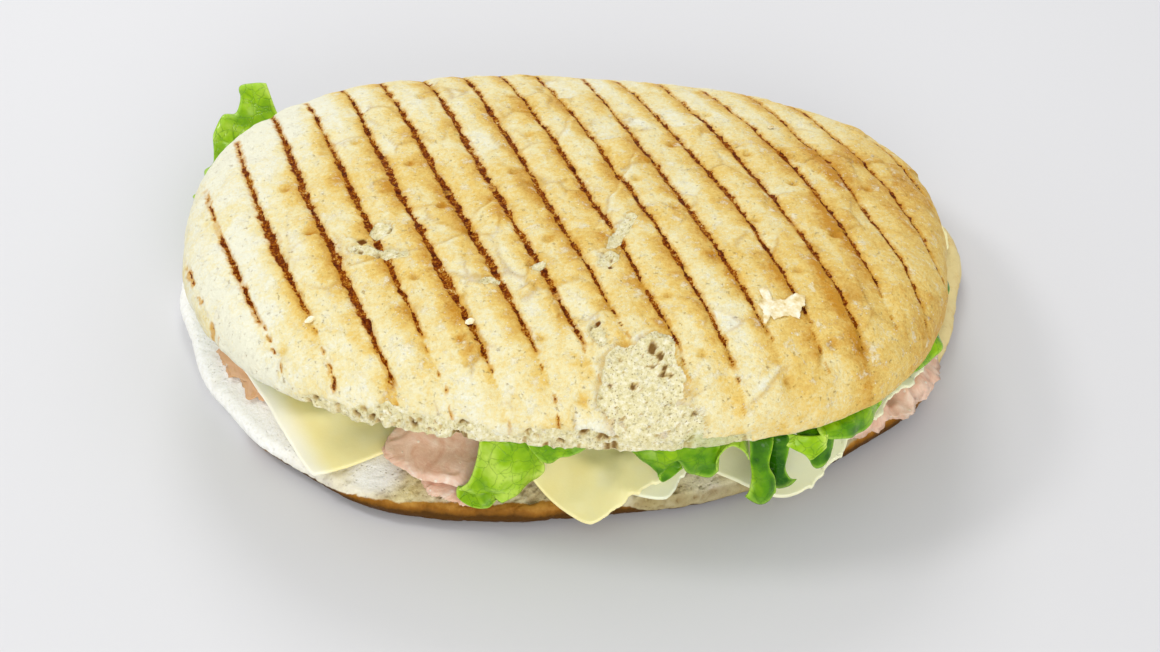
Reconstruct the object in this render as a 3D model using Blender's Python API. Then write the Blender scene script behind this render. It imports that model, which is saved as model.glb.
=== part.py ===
# Panini: a flat grilled roll cut in two, with ham, cheese slices and lettuce between the halves.
# It lies on its flat base, and the filling lifts the front of its lid.
# X runs along the roll, Y from its front to its back, Z up. Lengths here are millimetres.
import math

import bpy
import numpy as np

MILLIMETRE = 0.001
DEGREE = math.pi / 180.0
GAP = 0.5
FACET_ROOM = 0.35

# Plan point that becomes the origin, under the middle of the whole roll
PLAN_MIDDLE = (-2.0, 0.4)

# Grill marks: parallel grooves half an inch apart, turned a little from the roll's short axis
GRILL_TURN = 20.2 * DEGREE
GRILL_PITCH = 12.69
GRILL_COUNT = 17
GRILL_FIRST = -100.7
GRILL_WIDTH = 3.4
GRILL_DEPTH = 0.9

# Torn crumb bites into the front edge of the lid
RAGGED_EDGE = 2.0

# Upper half of the roll
LID = {
    "centre": (-4.2, 1.1),
    "turn": -4.0 * DEGREE,
    "half_length": 111.6,
    "half_width": 87.1,
    "corner_power": 2.53,
    "waves": ((1, 0.007, -0.011), (2, 0.0, 0.005), (3, -0.014, 0.008), (4, 0.006, -0.007)),
    "rim_height": 31.8,
    "front_lift": -0.096,
    "dome": 22.9,
    "dome_flatness": 2.72,
    "dome_edge": 2.39,
    "lean": (1.0, -0.036, -0.231, 0.084, -0.105, -0.427),
    "unevenness": 0.4,
    "cut_drop": 2.0,
    "cut_unevenness": 0.3,
}
SIDE_RISE = 0.004

# Sample places along each cross-section of the lid, as shares of the way from its front to its back
LID_UNDER = (0.014, 0.10, 0.30, 0.55, 0.80, 0.95, 0.986)
LID_NEAR_RIM = (0.0, 0.0025, 0.009, 0.022, 0.045, 0.08, 0.13, 0.20, 0.29, 0.39)
LID_END_SHARES = (0.06, 0.25, 0.6)

# Lower half of the roll
BASE = {
    "centre": (-2.2, 4.8),
    "turn": 6.25 * DEGREE,
    "half_length": 116.9,
    "half_width": 84.5,
    "corner_power": 2.35,
    "waves": ((3, 0.017, 0.022), (4, 0.0125, 0.0047), (5, -0.0095, 0.0131)),
    "top_height": 13.0,
    "inner_fall": 1.4,
    "edge_fall": 3.4,
    "outer_slope": 60.0,
    "unevenness": 0.35,
}
BASE_SIDES = 72

# Rings round the lower half: share of the outline and height, then shares in over the cut face
BASE_UNDER = ((0.45, 0.0), (0.90, 0.0), (0.96, 0.9), (0.99, 2.7), (1.0, 4.6))
BASE_OVER = (0.985, 0.955, 0.90, 0.82, 0.70, 0.52, 0.28)

# Pads of folded ham: plan centre, half sizes, turn in degrees, corner power, edge and middle thickness
HAM = {
    "ham_centre": ((2.0, -3.0), (31.0, 66.0), 0.0, 3.0, 2.4, 4.0),
    "ham_left": ((-78.0, -11.0), (30.0, 37.0), 0.0, 2.3, 2.4, 4.0),
    "ham_right": ((69.6, -20.6), (34.0, 30.5), -40.0, 2.8, 6.2, 4.0),
    "ham_lower": ((-30.0, -67.5), (13.0, 14.0), -8.0, 2.6, 1.8, 2.0),
    "ham_folded": ((-32.8, -66.6), (22.6, 9.2), -7.0, 2.1, 3.4, 3.4),
}
HAM_CRUMPLE = 0.22
HAM_FOLD_LENGTH = 17.0
HAM_SIDES = 26

# Rings of a pad: share of its outline, and share of its thickness above what it lies on
PAD_ROWS = (
    (0.5, 0.0), (0.85, 0.0), (0.97, 0.12), (1.0, 0.5), (0.97, 0.88), (0.88, 1.0), (0.68, 1.0), (0.36, 1.0),
)

# Cheese slices: plan corner that shows, headings of its two sides in degrees, their lengths, how far
# the corner is rounded, and how softly it sags. Where a slice slopes, its corner looks wider in plan.
CHEESE = {
    "cheese_left": ((-74.1, -74.0), (20.0, 122.0), (78.0, 62.0), 1.5, 0.06),
    "cheese_right": ((61.0, -80.5), (50.0, 156.0), (60.0, 60.0), 8.0, 0.06),
    "cheese_middle": ((28.0, -78.5), (52.0, 168.0), (26.0, 15.0), 2.0, 0.06),
    "cheese_end": ((114.6, 26.5), (101.0, 205.0), (25.0, 48.0), 1.5, 0.03),
    "cheese_front": ((3.7, -89.0), (30.0, 148.0), (70.0, 62.0), 3.0, 0.12),
}
CHEESE_THICKNESS = 2.5
CHEESE_CELLS = 9

# Lettuce leaves: lines from left to right, the first hidden under the lid, the last the free edge
LEAVES = {
    "lettuce_left": (
        ((-26.0, -71.0, 32.6), (-13.0, -71.0, 32.6)),
        ((-26.6, -79.4, 34.0), (-19.5, -80.4, 34.3), (-12.5, -79.6, 33.6)),
        ((-27.6, -81.0, 26.5), (-19.5, -83.5, 26.5), (-10.4, -79.3, 26.0)),
        ((-29.8, -82.0, 18.5), (-21.0, -85.3, 18.5), (-11.2, -80.5, 20.5)),
        ((-32.6, -82.4, 13.0), (-25.0, -86.0, 12.5), (-15.8, -82.6, 15.0)),
        ((-30.5, -84.2, 10.6), (-27.0, -85.3, 9.9), (-24.2, -84.3, 10.4), (-20.5, -84.3, 11.4)),
    ),
    "lettuce_frill": (
        ((-12.5, -71.0, 35.4), (-1.0, -71.0, 35.4)),
        ((-13.6, -80.6, 36.2), (-6.5, -81.6, 36.4), (0.0, -80.8, 36.0)),
        (
            (-12.4, -83.4, 31.6), (-9.0, -83.6, 28.6), (-6.0, -83.6, 30.4), (-3.4, -83.4, 28.8),
            (-0.6, -82.6, 32.0),
        ),
    ),
    "lettuce_middle": (
        ((10.0, -71.0, 33.8), (37.0, -70.0, 33.8)),
        ((9.2, -80.4, 35.2), (24.0, -81.4, 35.2), (38.6, -79.0, 34.8)),
        ((13.6, -82.0, 31.0), (26.0, -83.6, 29.0), (38.9, -79.8, 28.0)),
        (
            (15.3, -82.2, 28.5), (19.3, -81.5, 25.0), (22.4, -81.2, 20.5), (24.0, -80.7, 17.5),
            (26.4, -81.6, 21.5), (28.8, -82.0, 23.0), (32.0, -81.2, 20.5), (35.3, -79.8, 18.5),
            (38.2, -79.8, 20.5),
        ),
    ),
    "lettuce_arch": (
        ((41.0, -69.5, 34.2), (46.0, -69.0, 34.2)),
        ((40.4, -79.5, 35.4), (43.0, -80.4, 35.8), (46.0, -80.0, 35.4)),
        (
            (40.2, -80.0, 26.0), (40.6, -81.4, 30.5), (42.3, -82.0, 33.4), (44.6, -82.2, 32.0),
            (46.2, -82.0, 28.6),
        ),
    ),
    "lettuce_right": (
        ((47.0, -69.0, 33.4), (52.0, -67.5, 33.2)),
        ((47.2, -79.3, 34.4), (50.0, -80.6, 34.4), (52.4, -79.4, 33.6)),
        ((46.8, -81.6, 27.0), (50.4, -83.4, 26.5), (53.9, -82.2, 24.5)),
        ((46.8, -81.6, 18.5), (51.0, -83.6, 17.5), (55.4, -82.0, 17.5)),
        ((46.8, -81.6, 13.6), (50.1, -82.6, 11.4), (53.8, -81.8, 12.4)),
    ),
    "lettuce_lobe": (
        ((50.0, -68.0, 30.4), (56.5, -66.0, 30.8)),
        ((50.0, -77.2, 31.4), (54.0, -78.4, 32.2), (57.4, -77.2, 32.4)),
        ((51.0, -78.8, 24.0), (55.4, -80.4, 24.0), (58.6, -78.6, 25.0)),
        ((52.2, -78.8, 18.0), (56.8, -80.2, 17.2), (59.8, -78.4, 19.4)),
        ((54.2, -79.0, 14.8), (57.6, -79.0, 13.4), (61.0, -77.8, 16.2)),
    ),
    "lettuce_tongue": (
        ((58.5, -65.5, 31.6), (67.0, -61.5, 31.4)),
        ((59.2, -75.8, 32.4), (64.0, -76.4, 32.6), (69.4, -73.2, 32.0)),
        ((61.6, -76.6, 26.8), (66.0, -77.6, 26.6), (70.0, -75.0, 27.2)),
        ((63.8, -76.6, 22.4), (66.6, -76.4, 20.6), (69.4, -75.4, 23.4)),
    ),
    "lettuce_corner": (
        ((62.0, -65.0, 34.6), (77.0, -54.0, 33.6)),
        ((65.0, -76.4, 35.0), (75.0, -71.0, 34.4), (83.0, -59.0, 33.2)),
        (
            (66.5, -78.0, 33.4), (70.2, -77.0, 32.0), (74.9, -73.8, 29.6), (78.4, -70.2, 28.0),
            (81.8, -65.0, 28.0), (84.4, -60.6, 30.4),
        ),
    ),
    "lettuce_end": (
        ((84.0, -44.0, 31.6), (96.0, -6.0, 28.8)),
        ((90.5, -48.5, 32.0), (100.0, -28.0, 30.6), (106.0, -5.0, 27.8)),
        (
            (91.8, -50.0, 30.0), (96.4, -44.6, 27.6), (100.7, -39.4, 26.4), (104.2, -33.2, 26.4),
            (102.8, -26.0, 28.6), (104.6, -18.0, 27.4), (108.6, -9.5, 24.6), (108.0, -3.0, 25.6),
        ),
    ),
    "lettuce_side": (
        ((-100.0, -4.0, 27.0), (-80.0, -40.0, 30.6)),
        ((-111.0, -9.0, 27.6), (-105.0, -28.0, 28.6), (-88.0, -48.5, 30.0)),
        (
            (-112.6, -14.0, 26.8), (-112.0, -20.0, 25.6), (-108.2, -27.0, 24.6), (-102.8, -35.4, 23.6),
            (-97.5, -42.0, 23.4), (-91.4, -48.4, 24.6),
        ),
    ),
    "lettuce_back": (
        ((-100.0, 24.0, 21.6), (-84.0, 52.0, 20.6)),
        ((-111.0, 26.0, 22.0), (-106.0, 48.0, 21.4), (-91.0, 64.0, 20.8)),
        ((-114.6, 27.0, 22.0), (-112.0, 50.0, 23.6), (-96.5, 69.0, 23.4)),
        (
            (-117.0, 28.0, 21.5), (-119.8, 33.0, 21.0), (-115.8, 36.5, 22.0), (-117.2, 42.0, 23.3),
            (-115.0, 47.3, 24.0), (-116.1, 56.8, 26.0), (-113.8, 64.7, 27.5), (-109.9, 67.5, 27.0),
            (-109.3, 74.0, 28.0), (-109.6, 76.6, 30.0), (-105.9, 78.2, 30.5), (-101.6, 79.8, 29.0),
        ),
    ),
}
LEAF_THICKNESS = 0.8

# Lettuce packed between the cheese and the lid: share of the lid's outline, and rows from its
# underside to its top as shares of the reach and of the height
INNER_REACH = 0.77
INNER_SIDES = 28
INNER_ROWS = (
    (0.3, 0.0), (0.56, 0.0), (0.77, 0.0), (0.92, 0.0), (0.99, 0.25), (1.0, 0.5), (0.97, 0.8), (0.86, 1.0),
    (0.5, 1.0),
)

# Square lattice of plan points on which the layers are laid over each other
LATTICE_STEP = 2.0
LATTICE_REACH = (134.0, 114.0)

# Colour from 0 to 255 and roughness of each food
GOLDEN_CRUST = ((224, 190, 120), 0.6)
PALE_CRUMB = ((236, 220, 180), 0.85)
PINK_HAM = ((224, 172, 150), 0.45)
MILD_CHEESE = ((242, 226, 152), 0.4)
GREEN_LETTUCE = ((120, 180, 50), 0.4)


def clear_scene():
    for item in list(bpy.data.objects):
        bpy.data.objects.remove(item, do_unlink=True)


def linear(channel):
    share = channel / 255.0
    return share / 12.92 if share <= 0.04045 else ((share + 0.055) / 1.055) ** 2.4


def food_material(name, colour, roughness):
    made = bpy.data.materials.new(name)
    made.use_nodes = True
    shader = made.node_tree.nodes["Principled BSDF"]
    tint = [linear(channel) for channel in colour] + [1.0]
    shader.inputs["Base Color"].default_value = tint
    shader.inputs["Roughness"].default_value = roughness
    shader.inputs["Metallic"].default_value = 0.0
    made.diffuse_color = tint
    return made


def add_solid(name, points, faces, look):
    mesh = bpy.data.meshes.new(name)
    moved = np.asarray(points) - (PLAN_MIDDLE[0], PLAN_MIDDLE[1], 0.0)
    mesh.from_pydata((moved * MILLIMETRE).tolist(), [], faces)
    mesh.materials.append(food_material(name + "_surface", *look))
    mesh.shade_smooth()
    made = bpy.data.objects.new(name, mesh)
    bpy.context.collection.objects.link(made)
    return made


def smooth_step(low, high, value):
    share = np.clip((value - low) / (high - low), 0.0, 1.0)
    return share * share * (3.0 - 2.0 * share)


def ripple(x, y, length, seed):
    """Five sine waves in seeded directions, about one length from crest to crest, from -1 to 1."""
    draw = np.random.default_rng(seed)
    total = 0.0
    for _ in range(5):
        heading = draw.uniform(0.0, math.tau)
        wave = length * draw.uniform(0.75, 1.5)
        phase = draw.uniform(0.0, math.tau)
        total = total + np.sin(math.tau * (x * math.cos(heading) + y * math.sin(heading)) / wave + phase)
    return total / 3.2


def outline_radius(shape, angle):
    """Superellipse radius at an angle, with a few low waves, for half axes of one."""
    power = shape["corner_power"]
    radius = (np.abs(np.cos(angle)) ** power + np.abs(np.sin(angle)) ** power) ** (-1.0 / power)
    swell = 1.0
    for order, cosine, sine in shape["waves"]:
        swell = swell + cosine * np.cos(order * angle) + sine * np.sin(order * angle)
    return radius * swell


def outline_points(shape, angle, share):
    """Plan points at a share of the way from the centre to the outline."""
    radius = outline_radius(shape, angle) * share
    u = radius * np.cos(angle) * shape["half_length"]
    v = radius * np.sin(angle) * shape["half_width"]
    cosine = math.cos(shape["turn"])
    sine = math.sin(shape["turn"])
    return shape["centre"][0] + u * cosine - v * sine, shape["centre"][1] + u * sine + v * cosine


def outline_share(shape, x, y):
    """How far a plan point is from the centre, with 1 on the outline, and its two half-axis shares."""
    dx = x - shape["centre"][0]
    dy = y - shape["centre"][1]
    cosine = math.cos(shape["turn"])
    sine = math.sin(shape["turn"])
    u = (dx * cosine + dy * sine) / shape["half_length"]
    v = (dy * cosine - dx * sine) / shape["half_width"]
    return np.hypot(u, v) / outline_radius(shape, np.arctan2(v, u)), u, v


def rim_height(x, y):
    return LID["rim_height"] + LID["front_lift"] * (y - LID["centre"][1]) + SIDE_RISE * x


def lid_under(x, y):
    return rim_height(x, y) - LID["cut_drop"]


def lid_top(x, y):
    """A flat-topped dome over the tilted rim, leaning towards the front left."""
    share, u, v = outline_share(LID, x, y)
    share = np.clip(share, 0.0, 1.0)
    crown = (1.0 - share ** LID["dome_flatness"]) ** (1.0 / LID["dome_edge"])
    terms = (1.0, u, v, u * u, v * v, u * v)
    lean = sum(factor * term for factor, term in zip(LID["lean"], terms))
    return rim_height(x, y) + crown * (LID["dome"] * lean + LID["unevenness"] * ripple(x, y, 34.0, 3))


def groove_depth(line, along):
    """A grill mark is deepest over the back and the middle and fades out towards the front."""
    fade = smooth_step(-84.0, -40.0, along + 10.0 * math.sin(1.7 * line))
    return GRILL_DEPTH * fade * (1.0 - 0.45 * line / GRILL_COUNT)


def base_top(x, y):
    """Height of the cut face of the lower half, which goes on falling past its edge."""
    share = outline_share(BASE, x, y)[0]
    fall = BASE["inner_fall"] * smooth_step(0.55, 0.9, share)
    fall = fall + BASE["edge_fall"] * smooth_step(0.84, 1.0, share)
    beyond = BASE["outer_slope"] * np.clip(share - 1.0, 0.0, None)
    return BASE["top_height"] - fall - beyond + BASE["unevenness"] * ripple(x, y, 26.0, 11)


def close_rings(rings, first_pole, last_pole):
    """One closed body of triangles from rings of points and a point at each end."""
    sides = len(rings[0])
    points = np.concatenate([[first_pole]] + rings + [[last_pole]])
    faces = []
    last = len(points) - 1
    top_ring = 1 + (len(rings) - 1) * sides
    for k in range(sides):
        after = (k + 1) % sides
        faces.append((0, 1 + after, 1 + k))
        faces.append((last, top_ring + k, top_ring + after))
        for row in range(len(rings) - 1):
            a = 1 + row * sides + k
            b = 1 + row * sides + after
            faces.append((a, b, b + sides))
            faces.append((a, b + sides, a + sides))
    return points, faces


def close_grids(lower, upper):
    """One closed body from two grids of points, both split into triangles alike, joined at the edge."""
    rows, columns = upper.shape[:2]
    count = rows * columns
    points = np.concatenate([upper.reshape(-1, 3), lower.reshape(-1, 3)])
    faces = []
    for i in range(rows - 1):
        for j in range(columns - 1):
            a = i * columns + j
            b = a + columns
            faces.append((a, b, b + 1))
            faces.append((a, b + 1, a + 1))
            faces.append((count + a, count + b + 1, count + b))
            faces.append((count + a, count + a + 1, count + b + 1))
    border = [i * columns for i in range(rows)]
    border += [(rows - 1) * columns + j for j in range(1, columns)]
    border += [i * columns + columns - 1 for i in range(rows - 2, -1, -1)]
    border += [j for j in range(columns - 2, 0, -1)]
    for k, a in enumerate(border):
        b = border[(k + 1) % len(border)]
        faces.append((a, count + a, count + b))
        faces.append((a, count + b, b))
    return points, faces


def build_base(look):
    """Rings from the middle of the flat bottom, round the edge and in over the cut face."""
    angle = np.linspace(0.0, math.tau, BASE_SIDES, endpoint=False)
    wander = 1.0 + 0.005 * np.sin(angle * 9.0 + 1.0) + 0.004 * np.sin(angle * 17.0)
    rings = []
    for share, height in BASE_UNDER:
        x, y = outline_points(BASE, angle, share * np.where(height > 0.0, wander, 1.0))
        rings.append(np.stack([x, y, np.full(BASE_SIDES, height)], 1))
    for share in BASE_OVER:
        x, y = outline_points(BASE, angle, share * (wander if share > 0.9 else 1.0))
        rings.append(np.stack([x, y, base_top(x, y)], 1))
    middle_x, middle_y = BASE["centre"]
    high = (middle_x, middle_y, float(base_top(middle_x, middle_y)))
    points, faces = close_rings(rings, (middle_x, middle_y, 0.0), high)
    return add_solid("bread_bottom", points, faces, look)


def lid_stations(left, right):
    """Places of the cross-sections, each with its grill line or None, and denser at the ends."""
    half = 0.5 * GRILL_WIDTH
    stations = []
    for line in range(GRILL_COUNT):
        centre = GRILL_FIRST + line * GRILL_PITCH
        stations += [(centre - half, None), (centre, line), (centre + half, None)]
        if line < GRILL_COUNT - 1:
            stations.append((centre + 0.5 * GRILL_PITCH, None))
    first = stations[0][0] - left
    final = right - stations[-1][0]
    for share in LID_END_SHARES:
        stations.append((left + share * first, None))
        stations.append((right - share * final, None))
    return sorted(stations, key=lambda entry: entry[0])


def build_lid(look):
    """Cross-sections along the grill marks, from the left end of the lid to its right end."""
    samples = 1440
    x, y = outline_points(LID, np.linspace(0.0, math.tau, samples, endpoint=False), 1.0)
    cosine = math.cos(GRILL_TURN)
    sine = math.sin(GRILL_TURN)
    across = x * cosine + y * sine
    along = y * cosine - x * sine
    first = int(np.argmin(across))
    reach = (int(np.argmax(across)) - first) % samples
    walk = np.roll(np.arange(samples), -first)
    front = walk[: reach + 1]
    back = np.append(walk[reach:], walk[0])[::-1]
    near_rim = np.array(LID_NEAR_RIM)
    over = np.concatenate([1.0 - near_rim, [0.5], near_rim[::-1]])
    shares = np.concatenate([LID_UNDER, over])
    split = len(LID_UNDER)
    crown = np.clip(np.sin(math.pi * over), 0.0, 1.0) ** 0.4
    rings = []
    for place, line in lid_stations(across[first], across[front[-1]]):
        near = np.interp(place, across[front], along[front])
        far = np.interp(place, across[back], along[back])
        run = near + (far - near) * shares
        px = place * cosine - run * sine
        py = place * sine + run * cosine
        waves = ripple(px[:split], py[:split], 30.0, 5)
        below = lid_under(px[:split], py[:split]) + LID["cut_unevenness"] * waves
        above = lid_top(px[split:], py[split:])
        if line is not None:
            above -= groove_depth(line, run[split:]) * crown
        tear = RAGGED_EDGE * max(0.0, ripple(place, 0.0, 9.0, 21)) * smooth_step(60.0, 110.0, far - near)
        torn = tear * smooth_step(0.10, 0.0, shares)
        px -= torn * sine
        py += torn * cosine
        rings.append(np.stack([px, py, np.concatenate([below, above])], 1))
    left = (x[first], y[first], rim_height(x[first], y[first]))
    end = front[-1]
    right = (x[end], y[end], rim_height(x[end], y[end]))
    points, faces = close_rings(rings, left, right)
    return add_solid("bread_top", points, faces, look)


def lattice():
    x = np.arange(-LATTICE_REACH[0], LATTICE_REACH[0] + 0.1, LATTICE_STEP)
    y = np.arange(-LATTICE_REACH[1], LATTICE_REACH[1] + 0.1, LATTICE_STEP)
    return np.meshgrid(x, y, indexing="ij")


def lattice_read(field, x, y):
    """The field between four lattice points."""
    i = (np.asarray(x) + LATTICE_REACH[0]) / LATTICE_STEP
    j = (np.asarray(y) + LATTICE_REACH[1]) / LATTICE_STEP
    i0 = np.clip(np.floor(i).astype(int), 0, field.shape[0] - 2)
    j0 = np.clip(np.floor(j).astype(int), 0, field.shape[1] - 2)
    a = i - i0
    b = j - j0
    low = field[i0, j0] * (1.0 - b) + field[i0, j0 + 1] * b
    high = field[i0 + 1, j0] * (1.0 - b) + field[i0 + 1, j0 + 1] * b
    return low * (1.0 - a) + high * a


def neighbours(field):
    return (np.roll(field, 1, 0), np.roll(field, -1, 0), np.roll(field, 1, 1), np.roll(field, -1, 1))


def spread(field, steps):
    """Each lattice point takes the highest value within a few steps."""
    for _ in range(steps):
        field = np.maximum.reduce([field, *neighbours(field)])
    return field


def layer_floor(grid_x, grid_y, stack):
    """What a layer lies on: the bread or the layers below it, with more room where nothing shows."""
    below = np.where(grid_y < -60.0, spread(stack, 1), spread(stack, 3))
    return np.maximum(base_top(grid_x, grid_y) + FACET_ROOM, below) + GAP


def drape(floor, inside, sag):
    """A soft sheet laid on a floor: each point hangs below the mean of its neighbours or is held up."""
    weight = spread(inside.astype(float), 2)
    near = np.maximum(sum(neighbours(weight)), 1.0)
    height = floor.copy()
    for _ in range(700):
        mean = sum(neighbours(height * weight)) / near
        height = np.where(weight > 0.0, np.maximum(floor, mean - sag), floor)
    return height


def pad_shape(entry):
    centre, halves, turn, power = entry[:4]
    return {
        "centre": centre,
        "turn": turn * DEGREE,
        "half_length": halves[0],
        "half_width": halves[1],
        "corner_power": power,
        "waves": ((5, 0.02, 0.012), (9, 0.012, -0.016)),
    }


def build_ham(name, stack, look):
    """A pad with a rounded edge, laid on what is under it, crumpled on top. Returns the new stack."""
    shape = pad_shape(HAM[name])
    edge, middle = HAM[name][4:]
    grid_x, grid_y = lattice()
    share = outline_share(shape, grid_x, grid_y)[0]
    rest = drape(layer_floor(grid_x, grid_y, stack), share < 1.06, 0.05)
    seed = len(name) + int(HAM[name][0][0]) % 7

    def thickness(x, y, part):
        swell = edge + (middle - edge) * smooth_step(1.0, 0.3, part)
        fold = 1.0 + HAM_CRUMPLE * ripple(x, y, HAM_FOLD_LENGTH, seed)
        return swell * fold

    angle = np.linspace(0.0, math.tau, HAM_SIDES, endpoint=False)
    rings = []
    for part, lift in PAD_ROWS:
        x, y = outline_points(shape, angle, part)
        height = lattice_read(rest, x, y) + lift * thickness(x, y, part)
        rings.append(np.stack([x, y, height], 1))
    cx, cy = shape["centre"]
    low = float(lattice_read(rest, cx, cy))
    high = low + float(thickness(cx, cy, 0.0))
    points, faces = close_rings(rings, (cx, cy, low), (cx, cy, high))
    add_solid(name, points, faces, look)
    top = rest + thickness(grid_x, grid_y, share)
    return np.where(share < 1.04, np.maximum(stack, top), stack)


def slice_axes(entry):
    return [np.array((math.cos(turn * DEGREE), math.sin(turn * DEGREE))) for turn in entry[1]]


def build_cheese(name, stack, look):
    """A thin slice laid over what is under it, falling past the edge of the roll. Returns the stack."""
    corner, _, lengths, rounding, sag = CHEESE[name]
    right, left = slice_axes(CHEESE[name])
    grid_x, grid_y = lattice()
    dx = grid_x - corner[0]
    dy = grid_y - corner[1]
    area = right[0] * left[1] - right[1] * left[0]
    a = (dx * left[1] - dy * left[0]) / area
    b = (dy * right[0] - dx * right[1]) / area
    inside = (a > -1.0) & (a < lengths[0] + 1.0) & (b > -1.0) & (b < lengths[1] + 1.0)
    rest = drape(layer_floor(grid_x, grid_y, stack), inside, sag)
    spacing = np.linspace(0.0, 1.0, CHEESE_CELLS) ** 1.4
    s, t = np.meshgrid(spacing * lengths[0], spacing * lengths[1], indexing="ij")
    pull = 0.6 * rounding * np.exp(-(s + t) / (rounding + 1.0))
    x = corner[0] + (s + pull) * right[0] + (t + pull) * left[0]
    y = corner[1] + (s + pull) * right[1] + (t + pull) * left[1]
    height = lattice_read(rest, x, y)
    lower = np.stack([x, y, height], 2)
    upper = np.stack([x, y, height + CHEESE_THICKNESS], 2)
    points, faces = close_grids(lower, upper)
    add_solid(name, points, faces, look)
    return np.where(inside, np.maximum(stack, rest + CHEESE_THICKNESS), stack)


def curve_through(points, count):
    """A smooth curve through the points, read at even shares of its length."""
    knots = np.array(points)
    padded = np.concatenate([[2 * knots[0] - knots[1]], knots, [2 * knots[-1] - knots[-2]]])
    fine = []
    for k in range(len(knots) - 1):
        a, b, c, d = padded[k : k + 4]
        t = np.linspace(0.0, 1.0, 12, endpoint=False)[:, None]
        bend = (2 * a - 5 * b + 4 * c - d) * t**2
        twist = (3 * b - a - 3 * c + d) * t**3
        fine.append(0.5 * (2 * b + (c - a) * t + bend + twist))
    fine = np.concatenate(fine + [knots[-1:]])
    length = np.concatenate([[0.0], np.cumsum(np.linalg.norm(np.diff(fine, axis=0), axis=1))])
    wanted = np.linspace(0.0, length[-1], count)
    return np.stack([np.interp(wanted, length, fine[:, axis]) for axis in range(3)], 1)


def grid_normals(points):
    normal = np.cross(np.gradient(points, axis=0), np.gradient(points, axis=1))
    return normal / np.maximum(np.linalg.norm(normal, axis=2, keepdims=True), 1e-6)


def leaf_surface(lines, rows, columns):
    """A smooth sheet through the leaf's lines, from the hidden root line to the free edge."""
    spread_lines = np.stack([curve_through(line, rows) for line in lines])
    sheet = [curve_through(spread_lines[:, row], columns) for row in range(rows)]
    return np.stack(sheet)


def build_leaf(name, look):
    """A thin wavy solid of even thickness about the leaf's middle surface."""
    lines = LEAVES[name]
    middle = leaf_surface(lines, 7 + 2 * len(lines[-1]) // 2, 3 + len(lines))
    offset = grid_normals(middle) * 0.5 * LEAF_THICKNESS
    points, faces = close_grids(middle - offset, middle + offset)
    add_solid(name, points, faces, look)


def build_inner_lettuce(stack, look):
    """The leaves packed under the lid: from the layers below up to the cut face of the lid."""
    shape = dict(LID)
    shape["waves"] = LID["waves"] + ((11, 0.02, 0.0), (17, 0.0, 0.015))
    grid_x, grid_y = lattice()
    share = outline_share(LID, grid_x, grid_y)[0]
    floor = np.maximum(base_top(grid_x, grid_y) + FACET_ROOM, spread(stack, 5)) + GAP
    rest = drape(floor, share < 0.84, 0.01)
    angle = np.linspace(0.0, math.tau, INNER_SIDES, endpoint=False)
    room = GAP + LID["cut_unevenness"]
    rings = []
    for part, lift in INNER_ROWS:
        x, y = outline_points(shape, angle, part * INNER_REACH)
        low = lattice_read(rest, x, y)
        high = lid_under(x, y) - room
        rings.append(np.stack([x, y, low + np.clip(high - low, 1.0, None) * lift], 1))
    cx, cy = LID["centre"]
    low = float(lattice_read(rest, cx, cy))
    points, faces = close_rings(rings, (cx, cy, low), (cx, cy, lid_under(cx, cy) - room))
    add_solid("lettuce_inner", points, faces, look)


def main():
    clear_scene()
    build_base(PALE_CRUMB)
    build_lid(GOLDEN_CRUST)
    stack = np.full(lattice()[0].shape, -60.0)
    for name in ("ham_centre", "ham_left", "ham_right", "ham_lower"):
        stack = build_ham(name, stack, PINK_HAM)
    for name in ("cheese_left", "cheese_right", "cheese_middle", "cheese_end"):
        stack = build_cheese(name, stack, MILD_CHEESE)
    stack = build_ham("ham_folded", stack, PINK_HAM)
    stack = build_cheese("cheese_front", stack, MILD_CHEESE)
    build_inner_lettuce(stack, GREEN_LETTUCE)
    for name in LEAVES:
        build_leaf(name, GREEN_LETTUCE)


main()
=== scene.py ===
import itertools
import math

import bpy
import numpy as np
from mathutils import Matrix


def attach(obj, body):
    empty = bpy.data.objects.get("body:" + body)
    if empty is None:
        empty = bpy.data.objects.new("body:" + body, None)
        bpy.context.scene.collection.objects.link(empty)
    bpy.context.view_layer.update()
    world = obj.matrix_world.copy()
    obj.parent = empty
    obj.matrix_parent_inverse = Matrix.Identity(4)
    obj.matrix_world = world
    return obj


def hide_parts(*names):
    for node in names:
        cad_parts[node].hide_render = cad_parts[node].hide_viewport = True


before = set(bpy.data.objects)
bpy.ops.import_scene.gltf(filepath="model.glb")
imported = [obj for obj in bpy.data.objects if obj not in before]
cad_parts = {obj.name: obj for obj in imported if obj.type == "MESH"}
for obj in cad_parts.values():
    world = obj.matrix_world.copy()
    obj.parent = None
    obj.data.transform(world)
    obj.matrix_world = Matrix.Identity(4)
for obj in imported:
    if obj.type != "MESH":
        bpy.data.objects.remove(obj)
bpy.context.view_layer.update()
print("frame loaded")

millimetre = 0.001
degree = math.pi / 180
planMiddle = (-2, 0.4, 0)  # plan point of the drawing numbers that is the frame's origin
layerGap = 0.5
facetRoom = 0.35  # keeps a layer clear of the facets of the solid bread

# Noise and small curves


# Cubic ease from 0 at low to 1 at high: share squared times (3 - 2 share).
def ease(low, high, value):
    share = np.clip((value - low) / (high - low), 0, 1)
    return share * share * (3 - 2 * share)


# Bell curve: e to the power of minus (value / width) squared.
def bell(value, width=1):
    return np.exp(-((value / width) ** 2))


# Five sine waves in seeded directions, about one length from crest to crest, from -1 to 1.
def ripple(x, y, length, seed):
    draw = np.random.default_rng(seed)
    total = 0
    for _ in range(5):
        heading = draw.uniform(0, math.tau)
        wave = length * draw.uniform(0.75, 1.5)
        phase = draw.uniform(0, math.tau)
        total = total + np.sin(math.tau * (x * math.cos(heading) + y * math.sin(heading)) / wave + phase)
    return total / 3.2


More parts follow.
